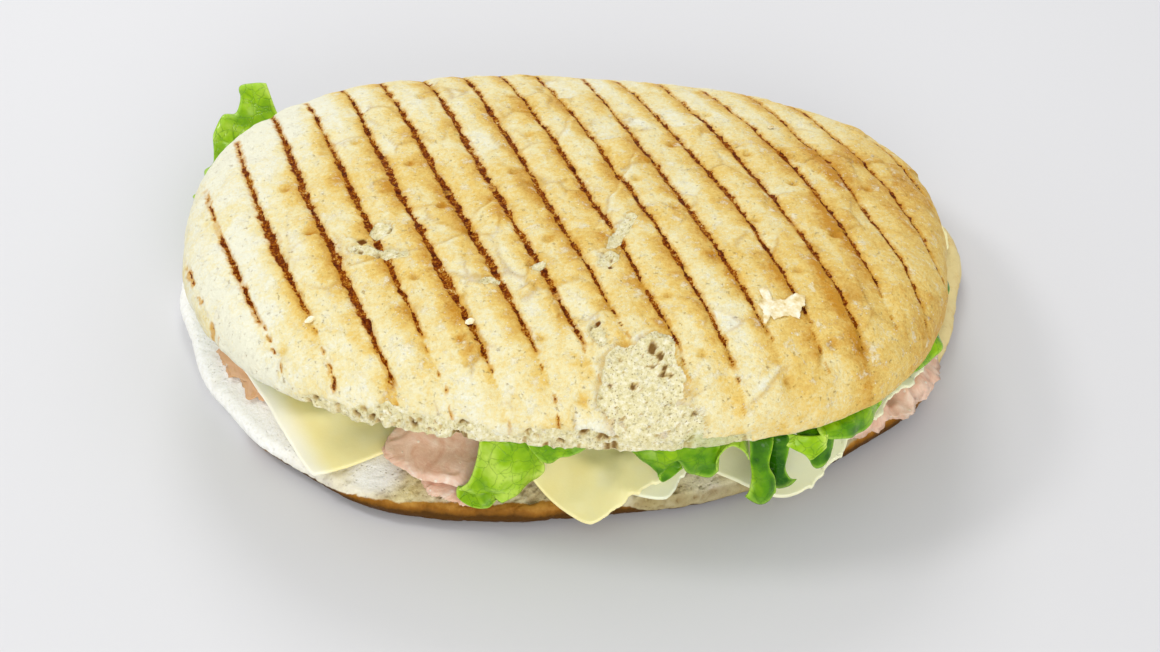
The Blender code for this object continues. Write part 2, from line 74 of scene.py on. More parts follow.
# Whole numbers to a share from 0 to 1: times large odd numbers, with the high bits folded down.
def scramble(cell, seed):
    mixed = (cell[..., 0] * 374761393 + cell[..., 1] * 668265263 + cell[..., 2] * 1274126177) + seed * 974711
    mixed = (mixed & 0xFFFFFFFF).astype(np.uint64)
    for fold, factor in ((13, 1103515245), (16, 2246822519)):
        mixed = ((mixed ^ (mixed >> np.uint64(fold))) * np.uint64(factor)) & np.uint64(0xFFFFFFFF)
    return ((mixed ^ (mixed >> np.uint64(15))) & np.uint64(0xFFFFFF)).astype(float) / 0xFFFFFF


# Smooth value noise from -1 to 1: each further layer is half the size and gain times the height.
def grain(points, size, seed, layers=3, gain=0.5):
    total = 0
    for layer in range(layers):
        place = points / (size * 0.5**layer) + 31.7 * layer
        cell = np.floor(place).astype(np.int64)
        part = place - cell
        part = part * part * (3 - 2 * part)
        value = 0
        for corner in itertools.product((0, 1), repeat=3):
            share = np.prod(np.where(corner, part, 1 - part), axis=-1)
            value = value + share * scramble(cell + corner, seed + layer)
        total = total + gain**layer * (2 * value - 1)
    return total / sum(gain**layer for layer in range(layers))


# One seeded site in each cube: distance to the nearest, how much farther the next is, the nearest's share.
def cells(points, size, seed):
    place = points / size
    cell = np.floor(place).astype(np.int64)
    first = np.full(place.shape[:-1], 9.0)
    second = first.copy()
    own = np.zeros_like(first)
    for step in itertools.product((-1, 0, 1), repeat=3):
        near = cell + step
        site = near + np.stack([scramble(near, seed + axis) for axis in range(3)], -1)
        gap = np.linalg.norm(place - site, axis=-1)
        second = np.where(gap < first, first, np.minimum(second, gap))
        own = np.where(gap < first, scramble(near, seed + 7), own)
        first = np.minimum(first, gap)
    return first, second - first, own


# A smooth curve through the points (Catmull-Rom), read at the wanted shares of its length.
def curveThrough(points, wanted):
    knots = np.asarray(points, float)
    padded = np.concatenate([[2 * knots[0] - knots[1]], knots, [2 * knots[-1] - knots[-2]]])
    t = np.linspace(0, 1, 16, endpoint=False)[None, :, None]
    a, b, c, d = (padded[k : k + len(knots) - 1, None] for k in range(4))
    fine = 0.5 * (2 * b + (c - a) * t + (2 * a - 5 * b + 4 * c - d) * t**2 + (3 * b - a - 3 * c + d) * t**3)
    fine = np.concatenate([fine.reshape(-1, knots.shape[1]), knots[-1:]])
    length = np.append(0, np.cumsum(np.linalg.norm(np.diff(fine, axis=0), axis=1)))
    wanted = np.asarray(wanted) * length[-1]
    return np.stack([np.interp(wanted, length, column) for column in fine.T], 1)


# A profile of two columns, smoothed at the given scale: its first column, and the second kept from 0 to 1.
def smoothProfile(profile, scale, wanted):
    walk = curveThrough(np.array(profile) * scale, wanted) / scale
    return walk[:, :1], np.clip(walk[:, 1:], 0, 1)


# Three arrays, or numbers, as the coordinates of one array of points.
def stacked(x, y, z):
    return np.stack(np.broadcast_arrays(x, y, z), -1)


# Plan vector seen from axes turned by an angle.
def turned(x, y, angle):
    cosine, sine = math.cos(angle), math.sin(angle)
    return x * cosine + y * sine, y * cosine - x * sine


def roundAngles(sides):
    return np.linspace(0, math.tau, sides, endpoint=False)[None, :]


# Unit normals of a grid of points: the cross product of its two directions.
def gridNormals(points):
    normal = np.cross(np.gradient(points, axis=0), np.gradient(points, axis=1))
    return normal / np.maximum(np.linalg.norm(normal, axis=2, keepdims=True), 1e-6)


# Meshes: a body is its points, its triangles and a dictionary of values at the points


# Two triangles for each cell of a grid numbered row by row.
def gridFaces(rows, columns):
    i, j = np.meshgrid(np.arange(rows - 1), np.arange(columns - 1), indexing="ij")
    a = (i * columns + j).ravel()
    b = a + columns
    return np.concatenate([np.stack([a, b, b + 1], 1), np.stack([a, b + 1, a + 1], 1)])


# Numbers of a grid's border points, anticlockwise seen along the third direction.
def gridBorder(rows, columns):
    down = np.arange(rows) * columns
    across = (rows - 1) * columns + np.arange(1, columns)
    return np.concatenate([down, across, down[:-1][::-1] + columns - 1, np.arange(columns - 2, 0, -1)])


# Two triangles between each pair of neighbours on two rings.
def ringFaces(a, b):
    c, d = np.roll(a, -1), np.roll(b, -1)
    return np.concatenate([np.stack([a, c, d], 1), np.stack([a, d, b], 1)])


# Triangles from every side of a ring to one point.
def poleFaces(ring, pole):
    return np.stack([np.full(len(ring), pole), ring, np.roll(ring, -1)], 1)


# A closed body of rings, rows by sides, from a point at its bottom to a point at its top, where values are 0.
def ringBody(rings, low, high, **fields):
    rows, sides = rings.shape[:2]
    number = np.arange(rows * sides).reshape(rows, sides)
    faces = [ringFaces(*pair) for pair in zip(number, number[1:])]
    faces += [poleFaces(number[0][::-1], rows * sides), poleFaces(number[-1], rows * sides + 1)]
    values = {key: np.append(field, (0, 0)) for key, field in fields.items()}
    return np.concatenate([rings.reshape(-1, 3), [low, high]]), np.concatenate(faces), values


# A closed thin body from a lower and an upper grid that share their border points.
def closedSheet(lower, upper, **fields):
    rows, columns = upper.shape[:2]
    inner = np.zeros((rows, columns), bool)
    inner[1:-1, 1:-1] = True
    under = np.arange(rows * columns)
    under[inner.ravel()] = rows * columns + np.arange(inner.sum())
    faces = gridFaces(rows, columns)
    values = {key: np.append(field, field[inner]) for key, field in fields.items()}
    points = np.concatenate([upper.reshape(-1, 3), lower[inner]])
    return points, np.concatenate([faces, under[faces][:, ::-1]]), values


# Several bodies as one.
def joined(bodies):
    points, faces, values = zip(*bodies)
    start = np.cumsum([0] + [len(part) for part in points])
    faces = [part + first for part, first in zip(faces, start)]
    values = {key: np.concatenate([part[key] for part in values]) for key in values[0]}
    return np.concatenate(points), np.concatenate(faces), values


# Puts a body into a mesh that rides on the root and replaces its nodes.
def addPiece(name, body, finish, slot, *nodes):
    points, faces, values = body
    mesh = bpy.data.meshes.new(name)
    mesh.vertices.add(len(points))
    mesh.vertices.foreach_set("co", ((points - planMiddle) * millimetre).astype(np.float32).ravel())
    mesh.loops.add(faces.size)
    mesh.loops.foreach_set("vertex_index", faces.ravel().astype(np.int32))
    mesh.polygons.add(len(faces))
    mesh.polygons.foreach_set("loop_start", np.arange(0, faces.size, 3, dtype=np.int32))
    mesh.update(calc_edges=True)
    mesh.validate()
    for key, field in values.items():
        layer = mesh.attributes.new(key, "FLOAT", "POINT")
        layer.data.foreach_set("value", field.astype(np.float32))
    mesh.shade_smooth()
    mesh.materials.append(finish)
    piece = bpy.data.objects.new(name, mesh)
    bpy.context.scene.collection.objects.link(piece)
    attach(piece, "root")
    if nodes:
        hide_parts(*nodes)
    print(name, len(faces), "triangles")


# Shader sums


# One output socket; sums written with it add Math nodes.
class Wire:
    def __init__(self, sheet, socket):
        self.sheet = sheet
        self.socket = socket

    def __add__(self, other):
        return self.sheet.math("ADD", self, other)

    __radd__ = __add__

    def __sub__(self, other):
        return self.sheet.math("SUBTRACT", self, other)

    def __rsub__(self, other):
        return self.sheet.math("SUBTRACT", other, self)

    def __mul__(self, other):
        return self.sheet.math("MULTIPLY", self, other)

    __rmul__ = __mul__

    def __truediv__(self, other):
        return self.sheet.math("DIVIDE", self, other)


# A colour from 0 to 255 as the shader's linear numbers.
def tint(colour):
    shares = [channel / 255 for channel in colour]
    return [s / 12.92 if s <= 0.04045 else ((s + 0.055) / 1.055) ** 2.4 for s in shares] + [1]


# One material with its Principled shader, and the helpers that add nodes to it. Sizes are in millimetres.
class Sheet:
    def __init__(self, name, **fixed):
        self.material = bpy.data.materials.new(name)
        self.material.use_nodes = True
        self.tree = self.material.node_tree
        self.set(Metallic=0, **fixed)
        self.place = self.node("ShaderNodeTexCoord", output="Object")

    def set(self, **sockets):
        for key, value in sockets.items():
            self.feed(self.tree.nodes["Principled BSDF"].inputs[key.replace("_", " ")], value)

    def feed(self, target, value):
        if isinstance(value, Wire):
            self.tree.links.new(value.socket, target)
        else:
            target.default_value = value

    # A node of any type: its settings first, then the values or links of its sockets.
    def node(self, kind, settings=None, sockets=None, output=0):
        made = self.tree.nodes.new(kind)
        for key, value in (settings or {}).items():
            setattr(made, key, value)
        for key, value in (sockets or {}).items():
            self.feed(made.inputs[key], value)
        return Wire(self, made.outputs[output])

    def math(self, operation, *terms):
        return self.node("ShaderNodeMath", {"operation": operation}, dict(enumerate(terms)))

    def own(self, name):
        return self.node("ShaderNodeAttribute", {"attribute_name": name}, output="Fac")

    # Noise about one size across, from 0 to 1.
    def noise(self, size, detail=3, roughness=0.55, twist=0, output=0):
        sockets = {"Scale": 1 / (size * millimetre), "Detail": detail, "Roughness": roughness}
        sockets.update({"Vector": self.place, "Distortion": twist})
        return self.node("ShaderNodeTexNoise", None, sockets, output)

    def spots(self, size, feature="F1", place=None):
        sockets = {"Scale": 1 / (size * millimetre), "Vector": place or self.place}
        return self.node("ShaderNodeTexVoronoi", {"feature": feature}, sockets)

    # Eases from 0 at low to 1 at high.
    def ease(self, value, low, high):
        settings = {"interpolation_type": "SMOOTHSTEP", "clamp": True}
        return self.node("ShaderNodeMapRange", settings, {"Value": value, "From Min": low, "From Max": high})

    def ramp(self, value, *stops):
        wire = self.node("ShaderNodeValToRGB", None, {"Fac": value})
        elements = wire.socket.node.color_ramp.elements
        for _ in stops[2:]:
            elements.new(0.5)
        for element, (spot, colour) in zip(elements, stops):
            element.position = spot
            element.color = tint(colour)
        return wire

    def blend(self, share, *colours):
        sockets = {0: share}
        for key, colour in zip((6, 7), colours):
            sockets[key] = colour if isinstance(colour, Wire) else tint(colour)
        return self.node("ShaderNodeMix", {"data_type": "RGBA", "clamp_factor": True}, sockets, 2)

    # Gives the shader its colour, its roughness and a bump of a height in millimetres.
    def finish(self, colour, rough, height, strength):
        sockets = {"Strength": strength, "Distance": millimetre, "Height": height}
        self.set(Base_Color=colour, Roughness=rough, Normal=self.node("ShaderNodeBump", None, sockets))
        return self.material


# Outlines of the two halves, as in the solids

lidShape = {
    "centre": (-4.2, 1.1),
    "turn": -4 * degree,
    "halfLength": 111.6,
    "halfWidth": 87.1,
    "cornerPower": 2.53,
    "waves": ((1, 0.007, -0.011), (2, 0, 0.005), (3, -0.014, 0.008), (4, 0.006, -0.007)),
    "rimHeight": 31.8,
    "frontLift": -0.096,
    "sideRise": 0.004,
    "dome": 22.9,
    "domeFlatness": 2.72,
    "domeEdge": 2.39,
    "lean": (1, -0.036, -0.231, 0.084, -0.105, -0.427),
    "unevenness": 0.4,
    "cutDrop": 2,
    "cutUnevenness": 0.3,
}

baseShape = {
    "centre": (-2.2, 4.8),
    "turn": 6.25 * degree,
    "halfLength": 116.9,
    "halfWidth": 84.5,
    "cornerPower": 2.35,
    "waves": ((3, 0.017, 0.022), (4, 0.0125, 0.0047), (5, -0.0095, 0.0131)),
    "topHeight": 13,
    "innerFall": 1.4,
    "edgeFall": 3.4,
    "outerSlope": 60,
    "unevenness": 0.35,
}


# Superellipse radius at an angle, with a few low waves, for half axes of one.
def outlineRadius(shape, angle):
    power = shape["cornerPower"]
    radius = (np.abs(np.cos(angle)) ** power + np.abs(np.sin(angle)) ** power) ** (-1 / power)
    swell = 1
    for order, cosine, sine in shape["waves"]:
        swell = swell + cosine * np.cos(order * angle) + sine * np.sin(order * angle)
    return radius * swell


# Plan points at a share of the way from the centre to the outline.
def outlinePoints(shape, angle, share):
    radius = outlineRadius(shape, angle) * share
    u = radius * np.cos(angle) * shape["halfLength"]
    v = radius * np.sin(angle) * shape["halfWidth"]
    x, y = turned(u, v, -shape["turn"])
    return shape["centre"][0] + x, shape["centre"][1] + y


# How far a plan point is from the centre, with 1 on the outline, and its two half-axis shares.
def outlineShare(shape, x, y):
    u, v = turned(x - shape["centre"][0], y - shape["centre"][1], shape["turn"])
    u, v = u / shape["halfLength"], v / shape["halfWidth"]
    return np.hypot(u, v) / outlineRadius(shape, np.arctan2(v, u)), u, v


# The rim is a plane that rises to the front and to the right.
def rimHeight(x, y):
    back = y - lidShape["centre"][1]
    return lidShape["rimHeight"] + lidShape["frontLift"] * back + lidShape["sideRise"] * x


def lidUnder(x, y):
    return rimHeight(x, y) - lidShape["cutDrop"]


# Height share of the dome over the rim: (1 - share^flatness)^(1 / edge).
def domeShare(share):
    return (1 - np.clip(share, 0, 1) ** lidShape["domeFlatness"]) ** (1 / lidShape["domeEdge"])


# A flat-topped dome over the tilted rim, leaning towards the front left.
def lidTop(x, y):
    share, u, v = outlineShare(lidShape, x, y)
    lean = sum(factor * term for factor, term in zip(lidShape["lean"], (1, u, v, u * u, v * v, u * v)))
    height = lidShape["dome"] * lean + lidShape["unevenness"] * ripple(x, y, 34, 3)
    return rimHeight(x, y) + domeShare(share) * height


# Height of the cut face of the lower half, which goes on falling past its edge.
def baseTop(x, y):
    share = outlineShare(baseShape, x, y)[0]
    fall = baseShape["innerFall"] * ease(0.55, 0.9, share) + baseShape["edgeFall"] * ease(0.84, 1, share)
    beyond = baseShape["outerSlope"] * np.clip(share - 1, 0, None)
    return baseShape["topHeight"] - fall - beyond + baseShape["unevenness"] * ripple(x, y, 26, 11)


# Layers laid over each other, as in the solids

latticeStep = 2
latticeReach = (134, 114)
latticeLines = [np.arange(-reach, reach + 0.1, latticeStep) for reach in latticeReach]
latticeX, latticeY = np.meshgrid(*latticeLines, indexing="ij")


# The field read smoothly: cubic B-spline weights over four by four lattice points.
def readField(field, x, y):
    corner, weights = [], []
    for value, reach, count in zip((x, y), latticeReach, field.shape):
        spot = (np.asarray(value) + reach) / latticeStep
        first = np.clip(np.floor(spot).astype(int), 1, count - 3)
        part = np.clip(spot - first, 0, 1)
        inner, outer = ((4 - 6 * t**2 + 3 * t**3) / 6 for t in (part, 1 - part))
        corner.append(first - 1)
        weights.append(((1 - part) ** 3 / 6, inner, outer, part**3 / 6))
    steps = itertools.product(range(4), repeat=2)
    return sum(weights[0][a] * weights[1][b] * field[corner[0] + a, corner[1] + b] for a, b in steps)


def neighbours(field):
    return [np.roll(field, step, axis) for axis in (0, 1) for step in (1, -1)]


# Each lattice point takes the highest value within a few steps.
def spread(field, steps):
    for _ in range(steps):
        field = np.maximum.reduce([field, *neighbours(field)])
    return field


# What a layer lies on: the bread or the layers below it, with room for the steps given, at the front of the
# panini and behind it.
def layerFloor(stack, front=1, behind=3):
    below = np.where(latticeY < -60, spread(stack, front), spread(stack, behind))
    return np.maximum(baseTop(latticeX, latticeY) + facetRoom, below) + layerGap


# A soft sheet laid on a floor: each point hangs below the mean of its neighbours or is held up.
def drape(floor, inside, sag):
    weight = spread(inside.astype(float), 2)
    near = np.maximum(sum(neighbours(weight)), 1)
    height = floor.copy()
    for _ in range(700):
        mean = sum(neighbours(height * weight)) / near
        height = np.where(weight > 0, np.maximum(floor, mean - sag), floor)
    return height


# Bread

grill = {
    "turn": 20.2 * degree,
    "pitch": 12.69,
    "dotPitch": 4.3,
    "first": -100.7,
    "depth": 1,
    "pillow": 0.5,
    # From left to right: sideways offset, slope and bend over 60 mm, back and front end of the solid mark,
    # where its last dots end, and its width
    "marks": (
        (1, -2, 3, 20, -6, -14, 1.3), (-1.2, -3.3, 5.5, 50, -18, -38, 2.6),
        (-1.4, -2, 3.9, 71, -24, -49, 3), (-0.3, -0.6, 2.3, 101, -55, -60, 2.7),
        (-0.1, -0.4, 1.1, 84, -46, -66, 2.2), (-0.2, -0.6, 1.4, 91, -62, -71, 2.3),
        (0.5, -0.9, 0.7, 94, -63, -80, 2.4), (0.5, 0.1, 1.1, 108, -66, -81, 2.3),
        (0.2, 0.4, 0.9, 108, -60, -66, 1.9), (0.2, 0.6, 0.1, 92, -77, -82, 1.7),
        (-0.5, 0, -0.1, 80, -85, -90, 1.7), (-0.7, 0.3, 0.4, 74, -78, -84, 1.7),
        (0.3, -0.7, -1, 72, -75, -94, 1.5), (-0.1, -0.6, -0.5, 82, -86, -93, 1.5),
        (1.4, -1.4, -2.3, 60, -66, -84, 1.6), (0.5, -0.3, -1.4, 68, -72, -80, 1.2),
        (0.6, -3.1, -4.7, 48, -52, -60, 1.2), (1, -3, -6, 16, -22, -30, 1),
    ),
}

topBun = {
    "grid": (336, 252),
    # Uneven crust: height, size, seed, and how much more of it there is at the front
    "uneven": ((0.6, 22, 51, 1), (0.45, 6.5, 52, 1.4), (0.16, 1.9, 53, 0)),
    # Torn crumb above the front rim: place along the bread and height of the band
    "lip": (
        (-76, 0), (-72, 3.4), (-62, 3.6), (-54, 6), (-42, 5.4), (-30, 4.8), (-25, 3.8), (-22, 0.5),
        (-17, 0.5), (-13, 4.8), (0, 4.8), (8, 3.2), (14, 2), (32, 2), (44, 1.2), (48, 0),
    ),
    "dimpleDepth": 1.1,
    "dimpleRadius": 1.3,
    "dimples": (
        (-86.5, 2.7), (-46.1, -41.2), (-31.5, -20.9), (-77.2, -20.3), (-40.3, -9.1), (-50.9, 12.7),
        (-50, 52.5), (-16.5, 30.2), (-9.4, -26.3), (-13.9, -37.2), (26.6, 28.7), (49.1, 25.5), (61.5, 8.9),
        (60.1, -37.4), (71.8, -17.8), (26.5, -8.6), (15.6, 38.8), (6.8, 22.6), (15.9, 6), (36.9, -32.5),
        (23.7, -50.3), (49.5, -14.2), (55.8, -76), (68.4, -63.6), (77.1, -62), (32.9, -72.1), (11.9, -68.9),
        (0.9, -83.6), (-32.3, -64.8), (-10.2, -65.7), (-81, -61.3), (-20, 8), (-68, 24), (84, 12), (38, 52),
    ),
    # Torn places where the crumb shows: plan centre, half sizes, heading, depth
    "tears": (
        ((16, -80), (10.5, 10), 0, 0.8), ((20.5, -72.5), (5.5, 6.5), 20, 0.8),
        ((-56.5, -20.5), (3.4, 3.6), 0, 0.6), ((-56.5, -30.5), (9, 2.3), -12, 0.6),
        ((11.5, -22), (9.5, 1.9), 68, 0.55), ((7.5, -36), (3.6, 2.4), 60, 0.6),
        ((4.8, -65.5), (4, 1.8), -65, 0.7), ((28, -87), (5, 2.5), 0, 0.6),
        ((-12, -38), (2.2, 1.6), 40, 0.4), ((-25, -44), (2.8, 1.3), 10, 0.4),
    ),
    # Deep holes, painted brown as shade in them: plan centre and radius
    "holes": (
        ((-61.8, -25.5), 1.5), ((19.3, -69.7), 1.3), ((21.7, -71.8), 1), ((22.8, -75.6), 0.9),
        ((22.3, -77.4), 0.8), ((14.3, -80.3), 0.9), ((8, -39.5), 0.8), ((5, -62.5), 0.8),
    ),
    # Edges where the crust has lifted: two plan points, height and reach to the right of the line
    "lifts": (
        ((5.2, -20), (15.2, 21), 0.9, 12), ((4.4, -70), (5.4, -58), 0.9, 6), ((-8.5, 25), (-3, 46), 0.5, 7),
        ((22, -92), (24, -66), 0.7, 7), ((-66, -24), (-49, -32), 0.6, 7),
        ((-65.1, -35.7), (-54.7, -32.7), 0.6, 6), ((-70.5, -21.6), (-65.1, -35.7), 0.4, 4),
        ((-41, -28.4), (-31.4, -22.8), 0.55, 6), ((-54.1, -32.7), (-44.5, -30.4), 0.5, 5),
        ((-30.4, -14.6), (-24.5, -4.5), 0.5, 6), ((24.4, -82.4), (24.1, -76.1), 0.7, 5),
        ((55.8, -72.5), (45.3, -82), 0.3, 4), ((1.3, -61.7), (5.6, -57.9), 0.6, 4),
        ((-79.7, -21.2), (-74, -21.2), 0.4, 5), ((-72.3, 24.8), (-66.6, 27.2), 0.4, 5),
        ((3, -30.6), (7.4, -38.4), 0.5, 4), ((-24.5, -4.5), (-19.9, -13.1), 0.35, 4),
    ),
    # Browner and paler places of the crust: plan centre, radius and how much browner
    "tones": (
        ((-66, 22), 20, 0.2), ((-20, 46), 14, 0.12), ((92, 34), 18, 0.16), ((14, -52), 12, 0.16),
        ((-42, -52), 12, 0.12), ((62, -8), 24, -0.12), ((30, -10), 18, -0.12), ((46, -62), 12, -0.12),
    ),
    # Rings below: share of the outline, and of the way down from the edge to the cut face
    "rings": (
        (0.9985, 0.35), (0.994, 0.85), (0.986, 1), (0.97, 1), (0.94, 1), (0.88, 1), (0.72, 1), (0.4, 1),
    ),
}


# Straightened grill line number at a plan point, and the place along the mark.
def grillLine(x, y):
    across, along = turned(x, y, grill["turn"])
    table = np.array(grill["marks"]).T
    number = np.arange(-1, table.shape[1] - 1)
    raw = (across - grill["first"]) / grill["pitch"]
    offset, slope, bend, back, front = (np.interp(raw, number, row) for row in table[:5])
    t = np.clip(along, front - 12, back + 4) / 60
    return raw - (offset + slope * t + bend * t * t) / grill["pitch"], along


# Round pores from 0 to 1: in rows the size, seed, share of cells that have none, and depth.
def pores(points, low, high, *rows):
    pore = 0
    for size, seed, rare, deep in rows:
        near, _, kind = cells(points, size, seed)
        pore = np.maximum(pore, ease(low, high, near) * (kind > rare) * deep)
    return pore


# Crust relief of the lid in millimetres along its normal, how far its torn edge hangs down, and the values
# that its finish reads.
def crustRelief(points, share):
    x, y = points[..., 0], points[..., 1]

    # Grooves with pillows between: burnt between the ends of a mark, with dots before its front end
    line, along = grillLine(x, y)
    line = line + 0.034 * grain(points, 9, 41, 2) + 0.022 * grain(points, 2.6, 42, 2)
    table = np.array(grill["marks"])
    nearest = np.rint(line)
    row = np.clip(nearest + 1, 0, len(table) - 1).astype(int)
    real = (nearest >= -1) & (nearest <= len(table) - 2)
    aside = (line - nearest) * grill["pitch"]
    off = np.abs(aside)
    back, front, last, width = (table[row, column] for column in (3, 4, 5, 6))
    solid = ease(back + 3, back - 6, along) * ease(front - 2, front + 6, along) * real
    step = np.floor(along / grill["dotPitch"])
    cell = stacked(nearest, step, 0).astype(np.int64)
    early, shift, size = (scramble(cell, seed) for seed in (44, 144, 244))
    dotAlong = 0.45 * (along - (step + 0.3 + 0.4 * early) * grill["dotPitch"])
    dot = np.hypot(aside + 1.6 * (shift - 0.5), dotAlong) / (0.35 + 0.5 * size)
    bead = ease(1.3, 0.6, dot) * (size > 0.2) * real
    bead = bead * ease(last - 6, last - 2, along) * ease(back + 6, back - 4, along)
    broken = 0.22 * (nearest == 0) + 0.5 * (nearest < 0)
    breaks = ease(-0.6 + broken, -0.2 + broken, grain(points, 5, 45, 3))
    char = solid * (0.35 - 0.7 * broken + (0.65 + 0.7 * broken) * breaks)
    char = np.maximum(char, 0.5 * bead * (1 - solid))
    width = width * (1 + 0.6 * grain(points, 4.5, 46, 2)) * (1 - 0.68 * ease(back - 75, back - 5, along))
    width = 0.9 * width * (0.35 + 0.65 * ease(front - 1, front + 32, along))
    groove = np.exp(-((off / (0.42 * width + 0.3)) ** 2.4))
    wide = ease(back + 16, back - 6, along) * ease(front - 22, front + 8, along) * real
    pressed = ease(back, back - 30, along)
    relief = grill["pillow"] * wide * (0.25 - bell(off, 3)) * ease(1, 0.965, share) * (0.3 + 0.7 * pressed)
    fade = (1 - 0.3 * np.clip(line, 0, 16) / 16) * (0.35 + 0.65 * pressed)
    relief = relief - grill["depth"] * groove * (0.3 * wide + 0.7 * char) * fade

    # Plates of crust, each a little higher or lower than the next, with joints between
    place = (along + 2.2 * grain(points, 6, 65, 2)) / 15
    gap, own = cells(stacked(line * 1.1 + 0.12 * grain(points, 7, 64, 2), place, 0.3), 1, 66)[1:]
    plated = ease(0, 0.4, grain(points, 14, 67, 2)) * ease(-100, -60, x)
    jointAndShadow = bell(gap, 0.05) * plated
    relief = relief + 1.1 * (own - 0.5) * ease(0, 0.06, gap) * plated - 0.12 * jointAndShadow
    for height, size, seed, more in topBun["uneven"]:
        relief = relief + height * grain(points, size, seed, 2) * (1 + more * ease(-40, -85, y))

    # Dimples with a low ring round them, and lifted edges that fall off to the right
    dent = rimHighlight = 0
    for centre in topBun["dimples"]:
        radius = np.hypot(x - centre[0], y - centre[1])
        relief = relief - topBun["dimpleDepth"] * bell(radius, topBun["dimpleRadius"])
        relief = relief + 0.14 * bell(radius - 2.3, 0.9)
        dent = dent + bell(radius, 1.7)
    wander = 1.3 * grain(points, 6, 63, 2)
    for start, end, height, reach in topBun["lifts"]:
        run = np.subtract(end, start)
        length = np.hypot(*run)
        place, left = turned(x - start[0], y - start[1], math.atan2(run[1], run[0]))
        side = wander - left
        inside = ease(-3, 3, place) * ease(length + 3, length - 3, place)
        relief = relief + inside * height * ease(-0.3, 0.5, side) * np.exp(-np.clip(side, 0, None) / reach)
        # Painted shadow along the low side of each lifted edge, kept with the dark joints
        jointAndShadow = np.maximum(jointAndShadow, 0.8 * inside * bell(side + 0.4, 0.5))
        # Painted highlight along the raised rim of each lifted edge, which makes the crust paler there
        rimHighlight = np.maximum(rimHighlight, inside * bell(side - 0.8, 0.8))

    # Torn places with a curb round them, and the torn band above the front rim with its caves
    crumb = depth = 0
    ragged = 0.5 * grain(points, 6, 71, 3, 0.65)
    for centre, halves, heading, deep in topBun["tears"]:
        u, v = turned(x - centre[0], y - centre[1], heading * degree)
        reach = np.hypot(u / halves[0], v / halves[1]) + ragged
        patch = ease(1.1, 0.92, reach)
        relief = relief + 0.8 * deep * bell(reach - 1.2, 0.09)
        # Painted shadow and painted highlight along the curb round each tear
        jointAndShadow = np.maximum(jointAndShadow, 0.9 * bell(reach - 1.04, 0.06))
        rimHighlight = np.maximum(rimHighlight, 0.7 * bell(reach - 1.16, 0.06))
        crumb = np.maximum(crumb, patch)
        depth = np.maximum(depth, patch * deep)
    above = points[..., 2] - rimHeight(x, y)
    ragged = 2.6 * grain(points * (1, 1, 0.3), 8, 72, 3, 0.6)
    tall = np.interp(x, *np.array(topBun["lip"]).T)
    lip = ease(0.7, -0.7, above - tall - ragged * ease(0, 3, tall)) * (y < -50) * ease(0.1, 0.6, tall)
    crumb = np.maximum(crumb, lip)
    near, gap, kind = cells(points * (1, 1, 1.2), 3.4, 79)
    cave = ease(0.52, 0.14, near) * (kind > 0.35)
    lumps = 1.5 * grain(points, 5, 76, 3, 0.6) + 0.8 * (1 - ease(0, 0.32, gap)) - 1.8 * cave
    relief = relief + lip * lumps * np.clip(tall / 5, 0.25, 1)
    pore = pores(points, 0.42, 0.2, (2.6, 73, 0.8, 2.6 / 3.2), (1.8, 74, 0.6, 1.8 / 3.2))
    relief = relief - np.maximum(depth, 0.7 * lip) - crumb * (0.9 * pore + 0.35 * grain(points, 2.2, 75, 2))
    hole = 0
    frayed = 0.5 * grain(points, 1.8, 78, 2)
    for centre, radius in topBun["holes"]:
        reach = np.hypot(x - centre[0], (y - centre[1]) * 0.8) / radius
        hole = np.maximum(hole, ease(1.25, 0.5, reach + frayed))
    relief = relief - 0.9 * hole
    # Pores, the caves of the torn band and the holes are painted darker in the finish: painted shade in the
    # hollows
    pore = np.maximum(np.maximum(pore, lip * cave) * crumb, hole)

    # How brown the crust is: broad places, plates, dimples, and beside the marks, with painted light and
    # shade
    # Paler to the left and browner to the right: painted light falling from the left over the crust's own
    # tone
    golden = 0.05 - 0.2 * rimHighlight + 0.36 * ease(-108, -44, x) + 0.15 * ease(10, 90, x)
    golden = golden + 0.16 * ease(72, 104, x) - 0.15 * ease(-30, -60, y) * ease(70, 36, x)
    golden = golden + 0.16 * grain(points, 24, 81, 3) + 0.42 * (own - 0.5) * (0.3 + 0.7 * plated)
    golden = golden - 0.5 * ease(5, 60, y) + 0.3 * ease(10, 70, y)
    # Browner in the dimples: painted shade in their hollows
    golden = golden + 0.08 * ease(-20, -60, y) * ease(30, 80, x) + 0.4 * dent
    # Toast beside each mark, browner on the side left of the line: painted shade on that side of each
    # pillowed strip
    before = line < nearest
    toastAndShade = wide * bell(off, 2.6 + 2.4 * before) * ease(-0.8, 0.3, grain(points, 7, 82, 2))
    toastAndShade = toastAndShade * (0.3 + 0.7 * ease(-98, -74, x)) * ease(100, 70, x)
    golden = golden + (0.14 + 0.46 * before) * toastAndShade
    for centre, radius, amount in topBun["tones"]:
        golden = golden + amount * bell(np.hypot(x - centre[0], y - centre[1]), radius)

    moist = bell(x - 36, 8) * ease(5.5, 1.5, above + ragged) * (y < -50)
    hang = 2.6 * grain(points * (1, 1, 0), 4.4, 70, 3, 0.6) - 0.3
    hang = hang * lip * ease(0.9, 1, share) * np.clip(tall / 5, 0.2, 1)
    values = {"line": line, "char": char * (1 - 0.85 * crumb), "width": width, "crumb": crumb}
    values.update({"pore": pore, "golden": golden, "seam": jointAndShadow, "moist": moist})
    return relief, hang, values


